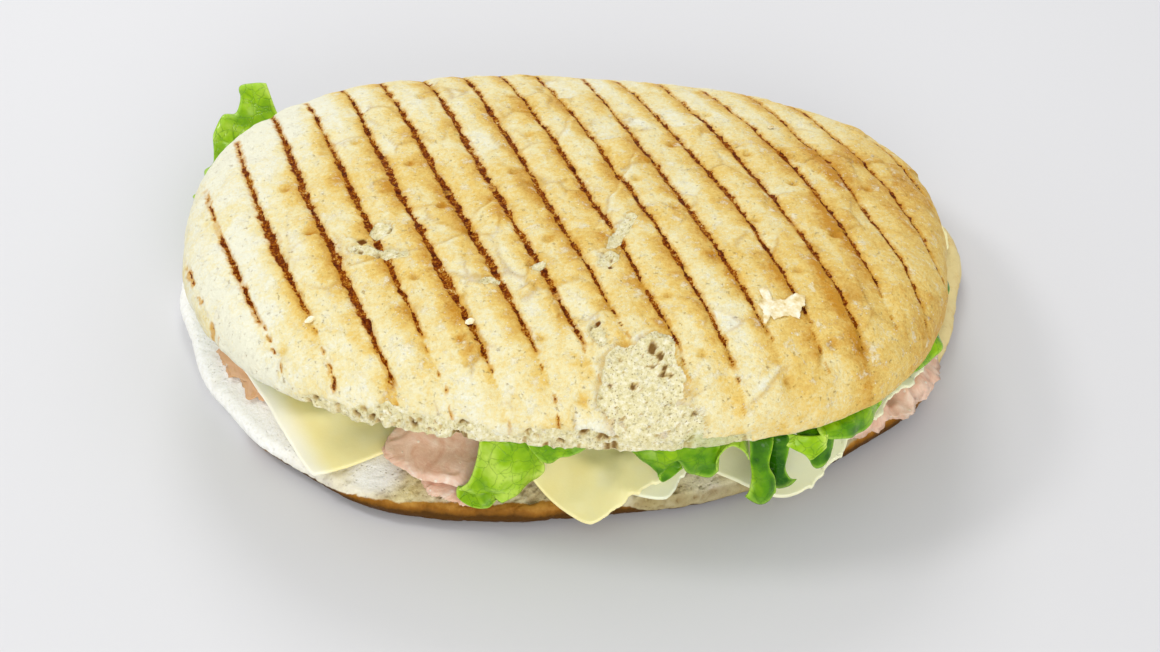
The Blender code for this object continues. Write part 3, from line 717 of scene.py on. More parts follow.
# Lid: a square grid mapped onto the disc (a root(1 - b b / 2), b root(1 - a a / 2)), its radius turned into
# a share of the outline at even lengths along the dome, pushed out by the relief, closed below by rings.
def buildTopBun(finish):
    table = np.linspace(0, 1, 4001)
    rise = lidShape["dome"] * domeShare(table)
    walk = np.append(0, np.cumsum(np.hypot(np.diff(table) * 96, np.diff(rise))))
    walk /= walk[-1]

    def surface(dx, dy):
        share = np.interp(np.hypot(dx, dy), walk, table)
        x, y = outlinePoints(lidShape, np.arctan2(dy, dx), share)
        return stacked(x, y, lidTop(x, y)), share

    a, b = np.meshgrid(*(np.linspace(-1, 1, count) for count in topBun["grid"]), indexing="ij")
    dx = a * np.sqrt(1 - 0.5 * b * b)
    dy = b * np.sqrt(1 - 0.5 * a * a)
    points, share = surface(dx, dy)
    share[np.hypot(dx, dy) > 0.999999] = 1
    inner, step = 0.996, 0.002
    east = surface(inner * dx + step, inner * dy)[0] - surface(inner * dx - step, inner * dy)[0]
    north = surface(inner * dx, inner * dy + step)[0] - surface(inner * dx, inner * dy - step)[0]
    normal = np.cross(east, north)
    normal /= np.linalg.norm(normal, axis=-1, keepdims=True)
    relief, hang, values = crustRelief(points, share)
    points = points + normal * relief[..., None]
    points[..., 2] += hang

    ring = gridBorder(*a.shape)
    border, count = ring, a.size
    angle = np.arctan2(dy, dx).ravel()[border]
    points = points.reshape(-1, 3)
    edge = points[border]
    bodies, faces = [points], [gridFaces(*a.shape)]
    for part, drop in topBun["rings"]:
        x, y = outlinePoints(lidShape, angle, part)
        under = lidUnder(x, y) + lidShape["cutUnevenness"] * ripple(x, y, 30, 5)
        height = edge[:, 2] * (1 - drop) + under * drop + 0.35 * drop * grain(stacked(x, y, 0), 3.2, 77, 2)
        pull = 0.8 * ease(0.94, 1, part)
        bodies.append(stacked(x + (edge[:, 0] - x) * pull, y + (edge[:, 1] - y) * pull, height))
        previous, ring = ring, count + np.arange(len(border))
        faces.append(ringFaces(ring, previous))
        count += len(border)
    faces.append(poleFaces(ring[::-1], count))
    bodies.append([(*lidShape["centre"], lidUnder(*lidShape["centre"]))])
    points = np.concatenate(bodies)
    below = {"crumb": 1, "line": -0.5}
    for key, field in values.items():
        rest = np.full(len(points) - a.size - 2 * len(border), below.get(key, 0))
        values[key] = np.concatenate([field.ravel(), np.tile(field.ravel()[border], 2), rest])
    addPiece("panini_top_bun", (points, np.concatenate(faces), values), finish, "crust", "bread_top")


def crustFinish():
    sheet = Sheet("grilled_crust", Specular_IOR_Level=0.08)
    mottle = sheet.noise(9, 4, 0.6, 0.3)
    fine = sheet.noise(1, 4, 0.72)
    flour = sheet.noise(3.8, 5, 0.7)
    blotch = sheet.noise(3, 5, 0.68, 0.4)
    golden = sheet.own("golden") + (mottle - 0.5) * 0.45 + (blotch - 0.5) * 0.65 + (fine - 0.5) * 0.75
    golds = ((0, (242, 240, 216)), (0.28, (240, 227, 172)), (0.58, (234, 201, 112)), (1, (202, 143, 42)))
    dust = sheet.ease(flour, 0.55, 0.68)
    colour = sheet.blend(dust * 0.6, sheet.ramp(golden, *golds), (246, 240, 214))
    speck = (1 - sheet.ease(sheet.spots(1.7), 0.08, 0.2)) * sheet.ease(flour, 0.42, 0.56)
    colour = sheet.blend(speck * 0.7, colour, (253, 249, 232))
    # Tan where the fine bump dips: painted shade in the small pits
    pit = sheet.ease(sheet.noise(1.5, 4, 0.72), 0.38, 0.3)
    colour = sheet.blend(pit * 0.45, colour, (186, 136, 52))
    # Dark joints between the plates, with painted shadow below the lifted edges and curbs
    colour = sheet.blend(sheet.own("seam") * 0.42, colour, (180, 130, 52))

    # Marks: a brown halo and a scorched core with painted glints, by the distance from the line's middle
    char = sheet.own("char")
    away = sheet.math("ABSOLUTE", sheet.math("FRACT", sheet.own("line") + 0.5) - 0.5) * grill["pitch"]
    away = away + (sheet.noise(1.1, 3, 0.6) - 0.5) * 1.2 + (sheet.noise(3.4, 3, 0.55) - 0.5) * 2.6
    half = sheet.own("width") * 0.5
    halo = (1 - sheet.ease(away / (half + 1), 0.3, 1)) * sheet.ease(char, 0, 0.35)
    colour = sheet.blend(halo * 0.8, colour, (212, 156, 52))
    core = (1 - sheet.ease(away / half, 0.72, 1)) * sheet.ease(char + (fine - 0.5) * 0.6, 0.22, 0.5)
    ash = sheet.noise(0.8, 5, 0.8)
    scorchAndGlint = ash + (sheet.noise(3.2, 4, 0.7) - 0.5) * 1.2
    burns = ((0.3, (96, 32, 0)), (0.48, (146, 64, 0)), (0.6, (194, 106, 4)), (0.73, (236, 176, 62)))
    # The palest stop is a painted glint on the burnt core
    colour = sheet.blend(core, colour, sheet.ramp(scorchAndGlint, *burns, (0.86, (255, 238, 188))))

    # Torn crumb with pores and pinholes, painted darker: painted shade in the holes
    pore = sheet.own("pore")
    web = sheet.noise(1.3, 5, 0.7)
    pin = 1 - sheet.ease(sheet.spots(0.9), 0.12, 0.26)
    inner = sheet.ramp(web, (0.3, (214, 200, 140)), (0.5, (238, 229, 182)), (0.66, (252, 248, 224)))
    inner = sheet.blend(pin * sheet.ease(blotch, 0.4, 0.56) * 0.6, inner, (150, 110, 42))
    inner = sheet.blend(sheet.ease(pore, 0.15, 0.5) * 0.6, inner, (196, 160, 84))
    inner = sheet.blend(sheet.ease(pore, 0.4, 0.95) * 0.9, inner, (118, 80, 24))
    inner = sheet.blend(sheet.own("moist") * 0.6, inner, (176, 192, 124))
    edge = sheet.ease(sheet.own("crumb") + (blotch - 0.5) * 0.9, 0.4, 0.58)
    hole = sheet.ease(pore, 0.25, 0.7) * (1 - edge)
    colour = sheet.blend(hole, sheet.blend(edge, colour, inner), (124, 74, 18))
    rough = 0.5 + (fine - 0.5) * 0.25 + (mottle - 0.5) * 0.2 - core * 0.14
    height = mottle * 0.5 + blotch * 0.9 + fine * 0.5 + dust * 0.2 + speck * 0.15 - pit * 0.3
    height = height + core * (ash * 1.4 - 0.7) - edge * pin * 0.25 + edge * web * 0.25
    return sheet.finish(colour, rough + edge * (0.86 - rough), height, 0.9)


bottomBun = {
    "sides": 880,
    # Share of the outline and share of the cut face's height, from the flat bottom round the edge and in
    "profile": (
        (0.3, 0), (0.6, 0), (0.9, 0), (0.945, 0.035), (0.972, 0.14), (0.99, 0.33), (1, 0.56), (0.998, 0.78),
        (0.985, 0.975), (0.965, 1), (0.93, 1), (0.86, 1), (0.74, 1), (0.5, 1),
    ),
    # Runs of rings along the profile: first and last share of its length, and how many
    "runs": ((0, 0.24, 5), (0.3, 0.76, 82), (0.78, 1, 9)),
}


# Lower half: its profile carried round the outline, with wrinkled crust below and open crumb above.
def buildBottomBun(finish):
    spots = np.concatenate([np.linspace(*run) for run in bottomBun["runs"]])
    share, lift = smoothProfile(bottomBun["profile"], (100, 9), spots)
    angle = roundAngles(bottomBun["sides"])
    wander = 1 + (0.005 * np.sin(angle * 9 + 1) + 0.004 * np.sin(angle * 17)) * ease(0.8, 0.95, share)
    x, y = outlinePoints(baseShape, angle, share * wander)
    points = stacked(x, y, baseTop(x, y) * lift)
    normal = -gridNormals(points)
    normal[:, [0, -1]] = -gridNormals(np.roll(points, 2, axis=1))[:, [2, 1]]

    # Where the cut crumb is toasted, left white at a painted patch of glare, and how far up the crust goes on
    # the side
    toastAndGlare = 0.82 * ease(-90, -54, x) - 0.15 * ease(80, 105, x) + 0.35 * grain(points, 12, 99, 3)
    # Painted highlight: a white patch of glare on the cut crumb at the front left
    toastAndGlare = toastAndGlare - 0.9 * bell(((x + 56.5) / 8) ** 2 + ((y + 71.5) / 7) ** 2)
    reach = -0.3 + 0.84 * ease(-104, -88, x) + 0.6 * ease(-84, -30, x) - 0.75 * ease(4, 24, x)
    reach = reach + 0.5 * ease(62, 80, x) + 0.5 * ease(84, 104, x)
    reach = reach + (0.55 - reach) * ease(20, 50, y) * ease(-100, -70, x) * ease(100, 80, x)
    band = lift + 8 * np.clip(0.985 - share, 0, 0.2) * (lift > 0.9)
    crust = ease(0.1, -0.12, band - reach + 0.15 * grain(points, 6, 91, 4, 0.6)) * ease(0.8, 0.9, share)
    crust = np.maximum(crust, ease(0.6, 0.1, points[..., 2]))

    pore = pores(points, 0.44, 0.18, (5, 94, 0.8, 0.9), (2.6, 95, 0.72, 0.612), (1.6, 96, 0.6, 0.492))
    pore = pore * (1 - crust) * ease(0.6, 0.8, share) * (0.3 + 0.7 * ease(0.1, 0.7, toastAndGlare))
    crease = bell(cells(points * (1, 1, 2.6), 10, 97)[1], 0.08)
    relief = 0.35 * grain(points, 9, 92, 3) + 0.16 * grain(points, 2.2, 93, 2)
    relief = (relief - 1.5 * pore - 0.35 * crease * crust) * ease(0, 1.6, points[..., 2])
    points = points + normal * relief[..., None]
    points[..., 2] = np.maximum(points[..., 2], 0)

    # Browner low on the side: the crust's own colour, with painted shade added near the bottom
    deep = ease(1, 0.5, lift) * ease(-110, -80, x)
    brown = 0.38 + 0.2 * ease(-80, -40, x) + 0.6 * deep + 0.2 * grain(points, 9, 98, 3)
    brown = brown * (1 - 0.85 * ease(66, 92, x) * ease(0.2, 0.5, lift) * ease(-44, -24, y))
    # Painted shade on the front of the lower half, from the middle towards the right end
    paintedShade = ease(4, 22, x) * (ease(80, 50, x) * ease(1, 0.9, band) + ease(50, 70, x))
    paintedShade = np.clip(paintedShade, 0, 1) * ease(-30, -42, y)
    centre = baseShape["centre"]
    values = {"crumb": 1 - crust, "pore": pore, "golden": brown, "toastAndGlare": toastAndGlare, "paintedShade": paintedShade}
    body = ringBody(points, (*centre, 0), (*centre, baseTop(*centre)), **values)
    addPiece("panini_bottom_bun", body, finish, "crumb", "bread_bottom")


def crumbFinish():
    sheet = Sheet("open_crumb", Specular_IOR_Level=0.15)
    mottle = sheet.noise(7, 4, 0.6)
    fine = sheet.noise(1, 4, 0.62)
    toastAndGlare = sheet.own("toastAndGlare")
    brown = sheet.own("golden") + (mottle - 0.5) * 0.6 + (fine - 0.5) * 0.2
    browns = ((0.1, (232, 212, 150)), (0.4, (202, 152, 66)), (0.7, (146, 94, 20)), (1, (82, 50, 2)))
    inner = sheet.ramp(fine, (0.25, (240, 238, 226)), (0.5, (248, 248, 242)), (0.75, (252, 252, 250)))
    tans = ((0.3, (236, 227, 186)), (0.5, (214, 199, 142)), (0.7, (176, 152, 90)))
    # Tan where the crumb is toasted, white under the painted glare
    inner = sheet.blend(toastAndGlare, inner, sheet.ramp(mottle + (fine - 0.5) * 0.4, *tans))
    # Painted shade: olive brown over the shaded front of the crumb
    inner = sheet.blend(sheet.own("paintedShade") * 0.7, inner, (150, 134, 90))
    # Pores painted darker: painted shade in the holes
    inner = sheet.blend(sheet.own("pore") * (0.2 + 0.6 * toastAndGlare), inner, (136, 106, 54))
    edge = sheet.ease(sheet.own("crumb") + (fine - 0.5) * 0.5, 0.3, 0.7)
    # Pinholes painted darker: painted shade in them
    pit = (1 - sheet.ease(sheet.spots(1.4), 0.08, 0.3)) * sheet.ease(mottle, 0.42, 0.56)
    inner = sheet.blend(pit * toastAndGlare * 0.45, inner, (146, 116, 64))
    colour = sheet.blend(edge, sheet.ramp(brown, *browns), inner)
    rough = 0.55 + edge * 0.32 + (fine - 0.5) * 0.2
    return sheet.finish(colour, rough, mottle * 0.4 + fine * 0.4 - edge * pit * 0.25, 0.8)


# Ham

ham = {
    "crumple": 0.22,
    "foldLength": 17,
    "sides": 420,
    "profile": (
        (0.3, 0), (0.7, 0), (0.9, 0.02), (0.97, 0.1), (1, 0.3), (1, 0.7), (0.98, 0.9), (0.93, 1), (0.8, 1),
        (0.55, 1), (0.25, 1),
    ),
    # Plan centre, half sizes, turn, corner power, edge and middle thickness, folds seen at the edge, how
    # ragged the edge is and how deep the crumples are
    "ham_centre": ((2, -3), (31, 66), 0, 3, 2.4, 4, 2, 0.02, 0.5),
    "ham_left": ((-78, -10), (29.8, 40), 0, 1.7, 1.9, 4, 1, 0.16, 0.4),
    "ham_right": ((69.6, -20.6), (34, 30.5), -40, 2.8, 6, 4, 3, 0.1, 1.9),
    "ham_lower": ((-30.5, -68.5), (13, 14), -8, 2.4, 1.8, 2, 1, 0.12, 1),
    "ham_folded": ((-30.5, -68), (24.5, 12.6), 0, 1.5, 2.6, 3.2, 1, 0.05, 0.5),
}


# A folded pad of slices: its profile carried round the outline, layered and ragged at the edge, crumpled on
# top. Its own thickness is kept inside the solid's, so layers stay apart.
def buildHam(name, stack, finish):
    centre, halves, heading, power, edge, middle, folds, torn, crumple = ham[name]
    shape = {"centre": centre, "turn": heading * degree, "halfLength": halves[0], "halfWidth": halves[1]}
    shape.update({"cornerPower": power, "waves": ((5, 0.02, 0.012), (9, 0.012, -0.016))})
    latticeShare = outlineShare(shape, latticeX, latticeY)[0]
    rest = drape(layerFloor(stack), latticeShare < 1.06, 0.05)
    seed = len(name) + int(centre[0]) % 7

    def thickness(x, y, part):
        swell = edge + (middle - edge) * ease(1, 0.3, part)
        return swell * (1 + ham["crumple"] * ripple(x, y, ham["foldLength"], seed))

    part, lift = smoothProfile(ham["profile"], (30, 4), np.linspace(0, 1, 84))
    angle = roundAngles(ham["sides"])
    turn = stacked(60 * np.cos(angle), 60 * np.sin(angle), 20 * lift) + seed
    ragged = grain(turn * (1, 1, 0.5), 16 if torn > 0.13 else 10, seed, 4, 0.62)
    ragged = torn * (0.4 - 1.5 * np.abs(ragged) if torn > 0.1 else ragged)
    layers = math.pi * (folds + 0.5) * lift + 1.2 * grain(turn * (1, 1, 0), 30, seed + 3, 1)
    notch = 0.05 * np.abs(np.sin(layers)) ** 0.6 * ease(0, 0.2, lift) * ease(1, 0.8, lift)
    x, y = outlinePoints(shape, angle, part * (1 + ease(0.84, 0.97, part) * (ragged + notch - 0.03)))
    thick = thickness(x, y, part)
    points = stacked(x, y, readField(rest, x, y) + lift * thick)
    folded = grain(points * (1, 1, 0.4), 9, seed + 11, 3, 0.55)
    crease = 1 - np.abs(grain(points * (1, 1, 0.3), 12, seed + 13, 2))
    lumps = crumple * (0.9 * folded + 0.8 * ease(0.8, 1, crease) - 0.7) * ease(0.3, 1, lift)
    points[..., 2] += np.minimum(lumps, 0.5) * np.clip(thick / 3, 0.5, 1.6)
    low = readField(rest, *centre)
    high = low + thickness(*centre, 0) - 0.2
    body = ringBody(points, (*centre, low), (*centre, high))
    body[2]["tan"] = np.full(len(body[0]), name == "ham_left")
    addPiece("panini_" + name, body, finish, "ham", name)
    top = rest + thickness(latticeX, latticeY, latticeShare)
    return np.where(latticeShare < 1.04, np.maximum(stack, top), stack)


def hamFinish():
    sheet = Sheet("cooked_ham", Specular_IOR_Level=0.35, Subsurface_Weight=0.15, Subsurface_Scale=0.002)
    sheet.set(Subsurface_Radius=(1, 0.5, 0.35))
    mottle = sheet.noise(6, 4, 0.6, 0.8)
    fine = sheet.noise(0.8, 3, 0.6)
    pinks = ((0.25, (214, 158, 130)), (0.45, (230, 190, 162)), (0.62, (240, 210, 188)))
    colour = sheet.ramp(mottle + (fine - 0.5) * 0.15, *pinks, (0.8, (252, 238, 224)))
    colour = sheet.blend(sheet.own("tan") * 0.8, colour, (208, 160, 106))
    fat = 1 - sheet.ease(sheet.spots(4.6), 0.07, 0.12)
    colour = sheet.blend(fat * 0.8, colour, (246, 234, 214))
    rough = 0.36 + (mottle - 0.5) * 0.3 + fat * 0.1
    return sheet.finish(colour, rough, mottle * 0.6 + fine * 0.15 + fat * 0.2, 0.6)


# Cheese

cheese = {
    "thickness": 2.5,
    "shown": 1.3,
    "cells": 150,
    # Plan corner that shows, headings of its two sides in degrees, their lengths, rounding, sag and paleness
    "cheese_left": ((-74.1, -74), (20, 122), (78, 62), 1.5, 0.06, 0),
    "cheese_right": ((61, -80.5), (50, 156), (60, 60), 8, 0.06, 0.7),
    "cheese_middle": ((25.5, -82), (60, 168), (26, 15), 2.5, 0.06, 0.9),
    "cheese_end": ((114.6, 26.5), (101, 205), (25, 48), 1.5, 0.03, 0.15),
    "cheese_front": ((3.7, -89), (30, 148), (70, 62), 3, 0.12, 0),
}


# A slice: a grid from its corner along its two sides, on the draped floor, its thickness rounded off over
# the last 0.9 mm as (1 - (1 - d)^2.4)^(1 / 2.4), its sides a little wavy.
def buildCheese(name, stack, finish):
    corner, headings, lengths, rounding, sag, pale = cheese[name]
    right, left = (np.array((math.cos(turn * degree), math.sin(turn * degree))) for turn in headings)
    dx, dy = latticeX - corner[0], latticeY - corner[1]
    area = right[0] * left[1] - right[1] * left[0]
    a = (dx * left[1] - dy * left[0]) / area
    b = (dy * right[0] - dx * right[1]) / area
    inside = (a > -1) & (a < lengths[0] + 1) & (b > -1) & (b < lengths[1] + 1)
    rest = drape(layerFloor(stack), inside, sag)
    even = np.linspace(0, 1, cheese["cells"])
    spacing = even - 0.148 * np.sin(math.tau * even)
    s, t = np.meshgrid(spacing * lengths[0], spacing * lengths[1], indexing="ij")
    pull = 0.6 * rounding * np.exp(-(s + t) / (rounding + 1))
    x, y = (corner[k] + (s + pull) * right[k] + (t + pull) * left[k] for k in range(2))
    flat = stacked(x, y, 0)
    inset = np.minimum.reduce([s, lengths[0] - s, t, lengths[1] - t])
    torn = (name != "cheese_left") * ease(12, 2, t) * ease(1, 12, s)
    for field, seed in ((x, len(name) + 5), (y, len(name) + 9)):
        wavy = 0.35 * grain(flat, 7, seed, 3) + 2.2 * torn * grain(flat, 4, seed + 40, 4, 0.7)
        field += wavy * ease(7, 0, inset)
    depth = np.clip(inset / 0.9, 0, 1)
    half = 0.5 * cheese["shown"] * (1 - (1 - depth) ** 2.4) ** (1 / 2.4)
    middle = readField(rest, x, y) + 0.5 * cheese["shown"] + 0.2
    relief = 0.12 * grain(flat, 14, len(name) + 2, 3)
    # Painted highlight: a pale band of glare along the left side of the left slice
    rim = ease(8, 1, s + 1.5 * grain(flat, 12, 7, 2)) * (name == "cheese_left")
    lower, upper = (stacked(x, y, middle + part * half) for part in (-0.92, 1 + relief))
    body = closedSheet(lower, upper, rim=rim, pale=np.full_like(rim, pale))
    addPiece("panini_" + name, body, finish, "cheese", name)
    return np.where(inside, np.maximum(stack, rest + cheese["thickness"]), stack)


def cheeseFinish():
    sheet = Sheet("mild_cheese", Specular_IOR_Level=0.3, Subsurface_Weight=0.25, Subsurface_Scale=0.003)
    sheet.set(Subsurface_Radius=(1, 0.9, 0.55))
    mottle = sheet.noise(14, 3, 0.5)
    fine = sheet.noise(1.4, 3, 0.6)
    rim = sheet.own("rim")
    colour = sheet.ramp(mottle, (0.25, (255, 236, 160)), (0.55, (255, 242, 176)), (0.8, (255, 247, 198)))
    colour = sheet.blend(sheet.own("pale"), colour, (246, 250, 216))
    # The pale rim of the left slice is a painted highlight
    colour = sheet.blend(rim * 0.8, colour, (252, 250, 236))
    rough = 0.34 + (mottle - 0.5) * 0.2 + (fine - 0.5) * 0.15 + rim * 0.1
    return sheet.finish(colour, rough, mottle * 0.5 + fine * 0.12, 0.35)


# Lettuce

# Lines from left to right, the first hidden under the lid, the last the free edge
leaves = {
    "lettuce_left": (
        ((-26, -71, 32.6), (-10, -71, 32.6)),
        ((-26.6, -79.4, 34), (-19.5, -80.4, 34.3), (-12, -79.6, 33.6)),
        ((-27.6, -81, 26.5), (-19.5, -83.5, 26.5), (-9.8, -79.3, 26)),
        ((-29.8, -82, 18.5), (-21, -85, 18.5), (-9, -78.6, 19.5)),
        (
            (-33.2, -81.8, 14.3), (-31.3, -82.2, 14.1), (-28.2, -83.2, 13.7), (-24.1, -82, 14.6),
            (-20.8, -85.6, 13), (-16.6, -82.7, 14.2), (-11, -77, 15),
        ),
    ),
    "lettuce_frill": (
        ((-13, -71, 35.4), (3, -71, 35.4)),
        ((-14.2, -80.6, 36.2), (-6.5, -81.6, 36.4), (3.2, -80.8, 36)),
        (
            (-13.8, -82.6, 33.6), (-11.9, -83.2, 30.6), (-9.4, -83.6, 28.2), (-6.8, -83.6, 27.3),
            (-4.6, -83, 29.4), (-2, -82.9, 29.6), (0.6, -82.6, 30.8), (2.8, -82, 33),
        ),
    ),
    "lettuce_middle": (
        ((10, -71, 33.8), (37, -70, 33.8)),
        ((9.2, -80.4, 35.2), (24, -81.4, 35.2), (38.6, -79, 34.8)),
        ((13.2, -81.6, 32.6), (20, -83.2, 30.4), (26.8, -83.6, 31), (33, -82.2, 28), (38.7, -80, 27.6)),
        (
            (14.1, -81.5, 31.2), (17.1, -82, 27.8), (19.8, -82.1, 26), (21.5, -82.1, 23.2),
            (22.2, -81.9, 20.4), (23.2, -82.5, 24.6), (25, -82.9, 27.6), (27, -82.9, 28.2),
            (28.6, -82.3, 26), (30.3, -81.7, 22.6), (32.2, -81.5, 21.4), (34.4, -81, 20.3),
            (36.8, -80.4, 20.2), (38.7, -80, 21.6),
        ),
    ),
    "lettuce_arch": (
        ((39.6, -71, 34), (42, -71, 35.6), (45, -71, 34.2)),
        ((38.4, -77, 29), (39.4, -77, 33.4), (42, -77, 35.6), (44.6, -77, 34.4), (46.2, -77, 30.4)),
        (
            (38.1, -82.2, 24), (37.9, -82.4, 27.4), (38.7, -82.5, 30.6), (40.3, -82.6, 33.4),
            (42, -82.6, 34.4), (43.7, -82.6, 33.6), (45.2, -82.5, 31.8), (46.6, -82.4, 28.8),
        ),
    ),
    "lettuce_right": (
        ((46, -70, 34), (52, -69, 34)),
        ((46.4, -79.5, 35), (50, -80.4, 35), (53, -79.8, 34.4)),
        ((46.9, -81.8, 28.5), (49.6, -83, 28), (52.2, -82.3, 27.3)),
        ((47.6, -82, 22), (51, -83.6, 21.5), (54.1, -82.2, 22)),
        ((47.2, -82.4, 16.6), (50.6, -84, 15.8), (54.8, -82, 16.6)),
        ((46.2, -82.9, 14.9), (48.1, -83.8, 13.6), (50.6, -84, 13.2), (53.2, -83.2, 14), (54.6, -82, 15.4)),
    ),
    "lettuce_lobe": (
        ((51, -69, 33.4), (56, -67, 33.4)),
        ((51.4, -77.6, 34.4), (54.4, -78.6, 34.4), (57.6, -77.6, 33.8)),
        ((51.6, -78.6, 28), (54.4, -79.8, 28), (57.5, -79.4, 29)),
        ((51.8, -78.8, 22), (54.4, -80, 22), (57, -79.7, 23.4)),
        ((52.2, -79, 18.2), (55.2, -80.2, 17.8), (58.6, -79.4, 19)),
        ((53, -79.4, 15.8), (55.8, -80.4, 15.3), (58.6, -80, 16.5), (60.6, -79, 18)),
    ),
    "lettuce_tongue": (
        ((58.5, -65.5, 32.6), (67, -61.5, 32)),
        ((59.2, -75.6, 33.6), (64, -76.2, 33.4), (69.8, -73, 32.6)),
        ((62, -76.6, 27.8), (66, -77.4, 27.6), (70.2, -74.4, 27.8)),
        ((63.6, -77, 23.8), (64.6, -77.4, 21.6), (66.2, -77.6, 20.9), (68, -77, 21.9), (69.5, -75.6, 24)),
    ),
    "lettuce_corner": (
        ((62, -65, 34.6), (77, -54, 33.6)),
        ((65, -76.4, 35), (75, -71, 34.4), (83, -59, 33.2)),
        (
            (66.5, -78, 33.4), (70.2, -77, 32), (74.9, -73.8, 29.6), (78.4, -70.2, 28), (81.8, -65, 28),
            (84.4, -60.6, 30.4),
        ),
    ),
    "lettuce_end": (
        ((84, -44, 31.6), (96, -6, 28.8)),
        ((90.5, -48.5, 32), (100, -28, 30.6), (106, -5, 27.8)),
        (
            (91.8, -50, 30), (96.4, -44.6, 27.6), (100.7, -39.4, 26.4), (104.2, -33.2, 26.4),
            (102.8, -26, 28.6), (104.6, -18, 27.4), (108.6, -9.5, 24.6), (108, -3, 25.6),
        ),
    ),
    "lettuce_side": (
        ((-100, -4, 27), (-80, -40, 30.6)),
        ((-111, -9, 27.6), (-105, -28, 28.6), (-88, -48.5, 30)),
        (
            (-112.6, -14, 26.8), (-112, -20, 25.6), (-108.2, -27, 24.6), (-102.8, -35.4, 23.6),
            (-97.5, -42, 23.4), (-91.4, -48.4, 24.6),
        ),
    ),
    "lettuce_back": (
        ((-100, 24, 21.6), (-84, 52, 20.6)),
        ((-111, 26, 22), (-106, 48, 21.4), (-91, 64, 20.8)),
        ((-114.6, 27, 22), (-112, 50, 23.6), (-96.5, 69, 23.4)),
        (
            (-117, 28, 21.5), (-119.8, 33, 21), (-115.8, 36.5, 22), (-117.2, 42, 23.3), (-115, 47.3, 24),
            (-116.1, 56.8, 26), (-113.8, 64.7, 27.5), (-109.9, 67.5, 27), (-109.3, 74, 28),
            (-109.6, 76.6, 30), (-105.9, 78.2, 30.5), (-101.6, 79.8, 29),
        ),
    ),
}

# Where a leaf's edge curls round and shows its other face: more lines of the same kind
leafCurls = {
    "lettuce_left": (
        ((-33, -80.4, 14.4), (-27.4, -80.2, 15), (-22.6, -81.2, 14.6)),
        ((-33.5, -80.6, 12.8), (-28, -82, 12.4), (-22.6, -82.6, 12.8)),
        (
            (-33.4, -81.4, 11.4), (-31.4, -83.2, 10.6), (-28.2, -84.7, 10.2), (-24.4, -84.9, 10.6),
            (-22.2, -83.8, 12.6),
        ),
    ),
    "lettuce_middle": (
        ((23.2, -80.2, 26), (26.2, -80.2, 27.6), (28.6, -80.2, 25.6)),
        ((22.8, -80.8, 23), (25.6, -80.6, 23.8), (28.6, -80.6, 24)),
        (
            (22.3, -82, 20.2), (23.4, -82.2, 19.2), (25.2, -82, 20.2), (27.2, -81.6, 22.2),
            (28.8, -81.4, 24.2),
        ),
    ),
    "lettuce_tongue": (
        ((55.8, -77, 34.4), (62, -78.4, 34.6), (68.2, -76.8, 33.8)),
        ((56.2, -79, 32.6), (61.8, -79.9, 31.2), (67.8, -78.4, 31.8)),
        (
            (56.4, -79.6, 31.9), (61.4, -80.3, 29.4), (63.5, -80.4, 27.2), (65.6, -80.1, 29),
            (67.8, -79, 30.8),
        ),
    ),
}

# Depth of the ruffles at the free edge and how many fit in 100 mm, and how dark each leaf and its curl is;
# the darker curls are painted shade in their pockets
leafLook = {
    "lettuce_left": (0.35, 9, 0.28, 0.42),
    "lettuce_frill": (0.4, 12, 0.55, 0.6),
    "lettuce_middle": (0.35, 10, 0.64, 0.8),
    "lettuce_arch": (0, 9, 0.3, 0.3),
    "lettuce_right": (0.35, 12, 0.78, 0.88),
    "lettuce_lobe": (0.3, 12, 0.94, 0.88),
    "lettuce_tongue": (0.25, 12, 0.75, 0.4),
    "lettuce_corner": (0.5, 9, 0.55, 0.7),
    "lettuce_end": (0.5, 9, 0.6, 0.7),
    "lettuce_side": (0.4, 10, 0.6, 0.7),
    "lettuce_back": (0.6, 8, 0.36, 0.4),
}
leafThickness = 0.8
leafPucker = 0.22


# A leaf: a smooth sheet through its lines, puckered between its veins, ruffled more and more towards the
# free edge, and given a thickness that tapers to nothing over the last 0.7 mm of its border.
def leafSheet(lines, ruffle, often, dark, seed):
    reach = np.linalg.norm(np.diff(np.array(lines[-1]), axis=0), axis=1).sum()
    even = np.linspace(0, 1, int(np.clip(reach / 0.35, 50, 200)))
    across = 0.35 * (0.5 - 0.5 * np.cos(math.pi * even)) + 0.65 * even
    down = np.linspace(0, 1, 76) ** 0.85
    fanned = np.stack([curveThrough(line, across) for line in lines], 1)
    middle = np.stack([curveThrough(fan, down) for fan in fanned])
    u, v = np.meshgrid(across, down, indexing="ij")
    side = np.minimum(u, 1 - u) * reach
    free = ease(0.45, 1, v)
    wave = math.tau * (u * reach * often / 100) + 2.2 * grain(middle, 12, seed, 2)
    gap = cells(middle, 7.5, seed + 5)[1]
    lift = ruffle * free**1.5 * np.sin(wave) + leafPucker * (ease(0, 0.5, gap) - 0.5) * ease(0.25, 0.5, v)
    lift = lift * ease(0, 0.08, u) * ease(1, 0.92, u)
    middle = middle + gridNormals(middle) * lift[..., None]
    inset = np.minimum(side, np.minimum(v, 1 - v) * 20)
    half = 0.5 * leafThickness * np.sqrt(np.clip(inset / 0.7, 0, 1)) * (1 - 0.35 * free)
    out = gridNormals(middle) * half[..., None]
    rim = np.maximum(ease(0.92, 0.985, v), ease(0.9, 0.3, side))
    # Lighter within 2.4 mm of the sides: a painted highlight along the leaf's edges
    darkAndEdgeLight = dark + 0.42 * grain(middle, 6, seed + 9, 3) - 0.35 * ease(2.4, 0, side)
    return closedSheet(middle - out, middle + out, rim=rim, vein=1 - ease(0, 0.035, gap), dark=darkAndEdgeLight)


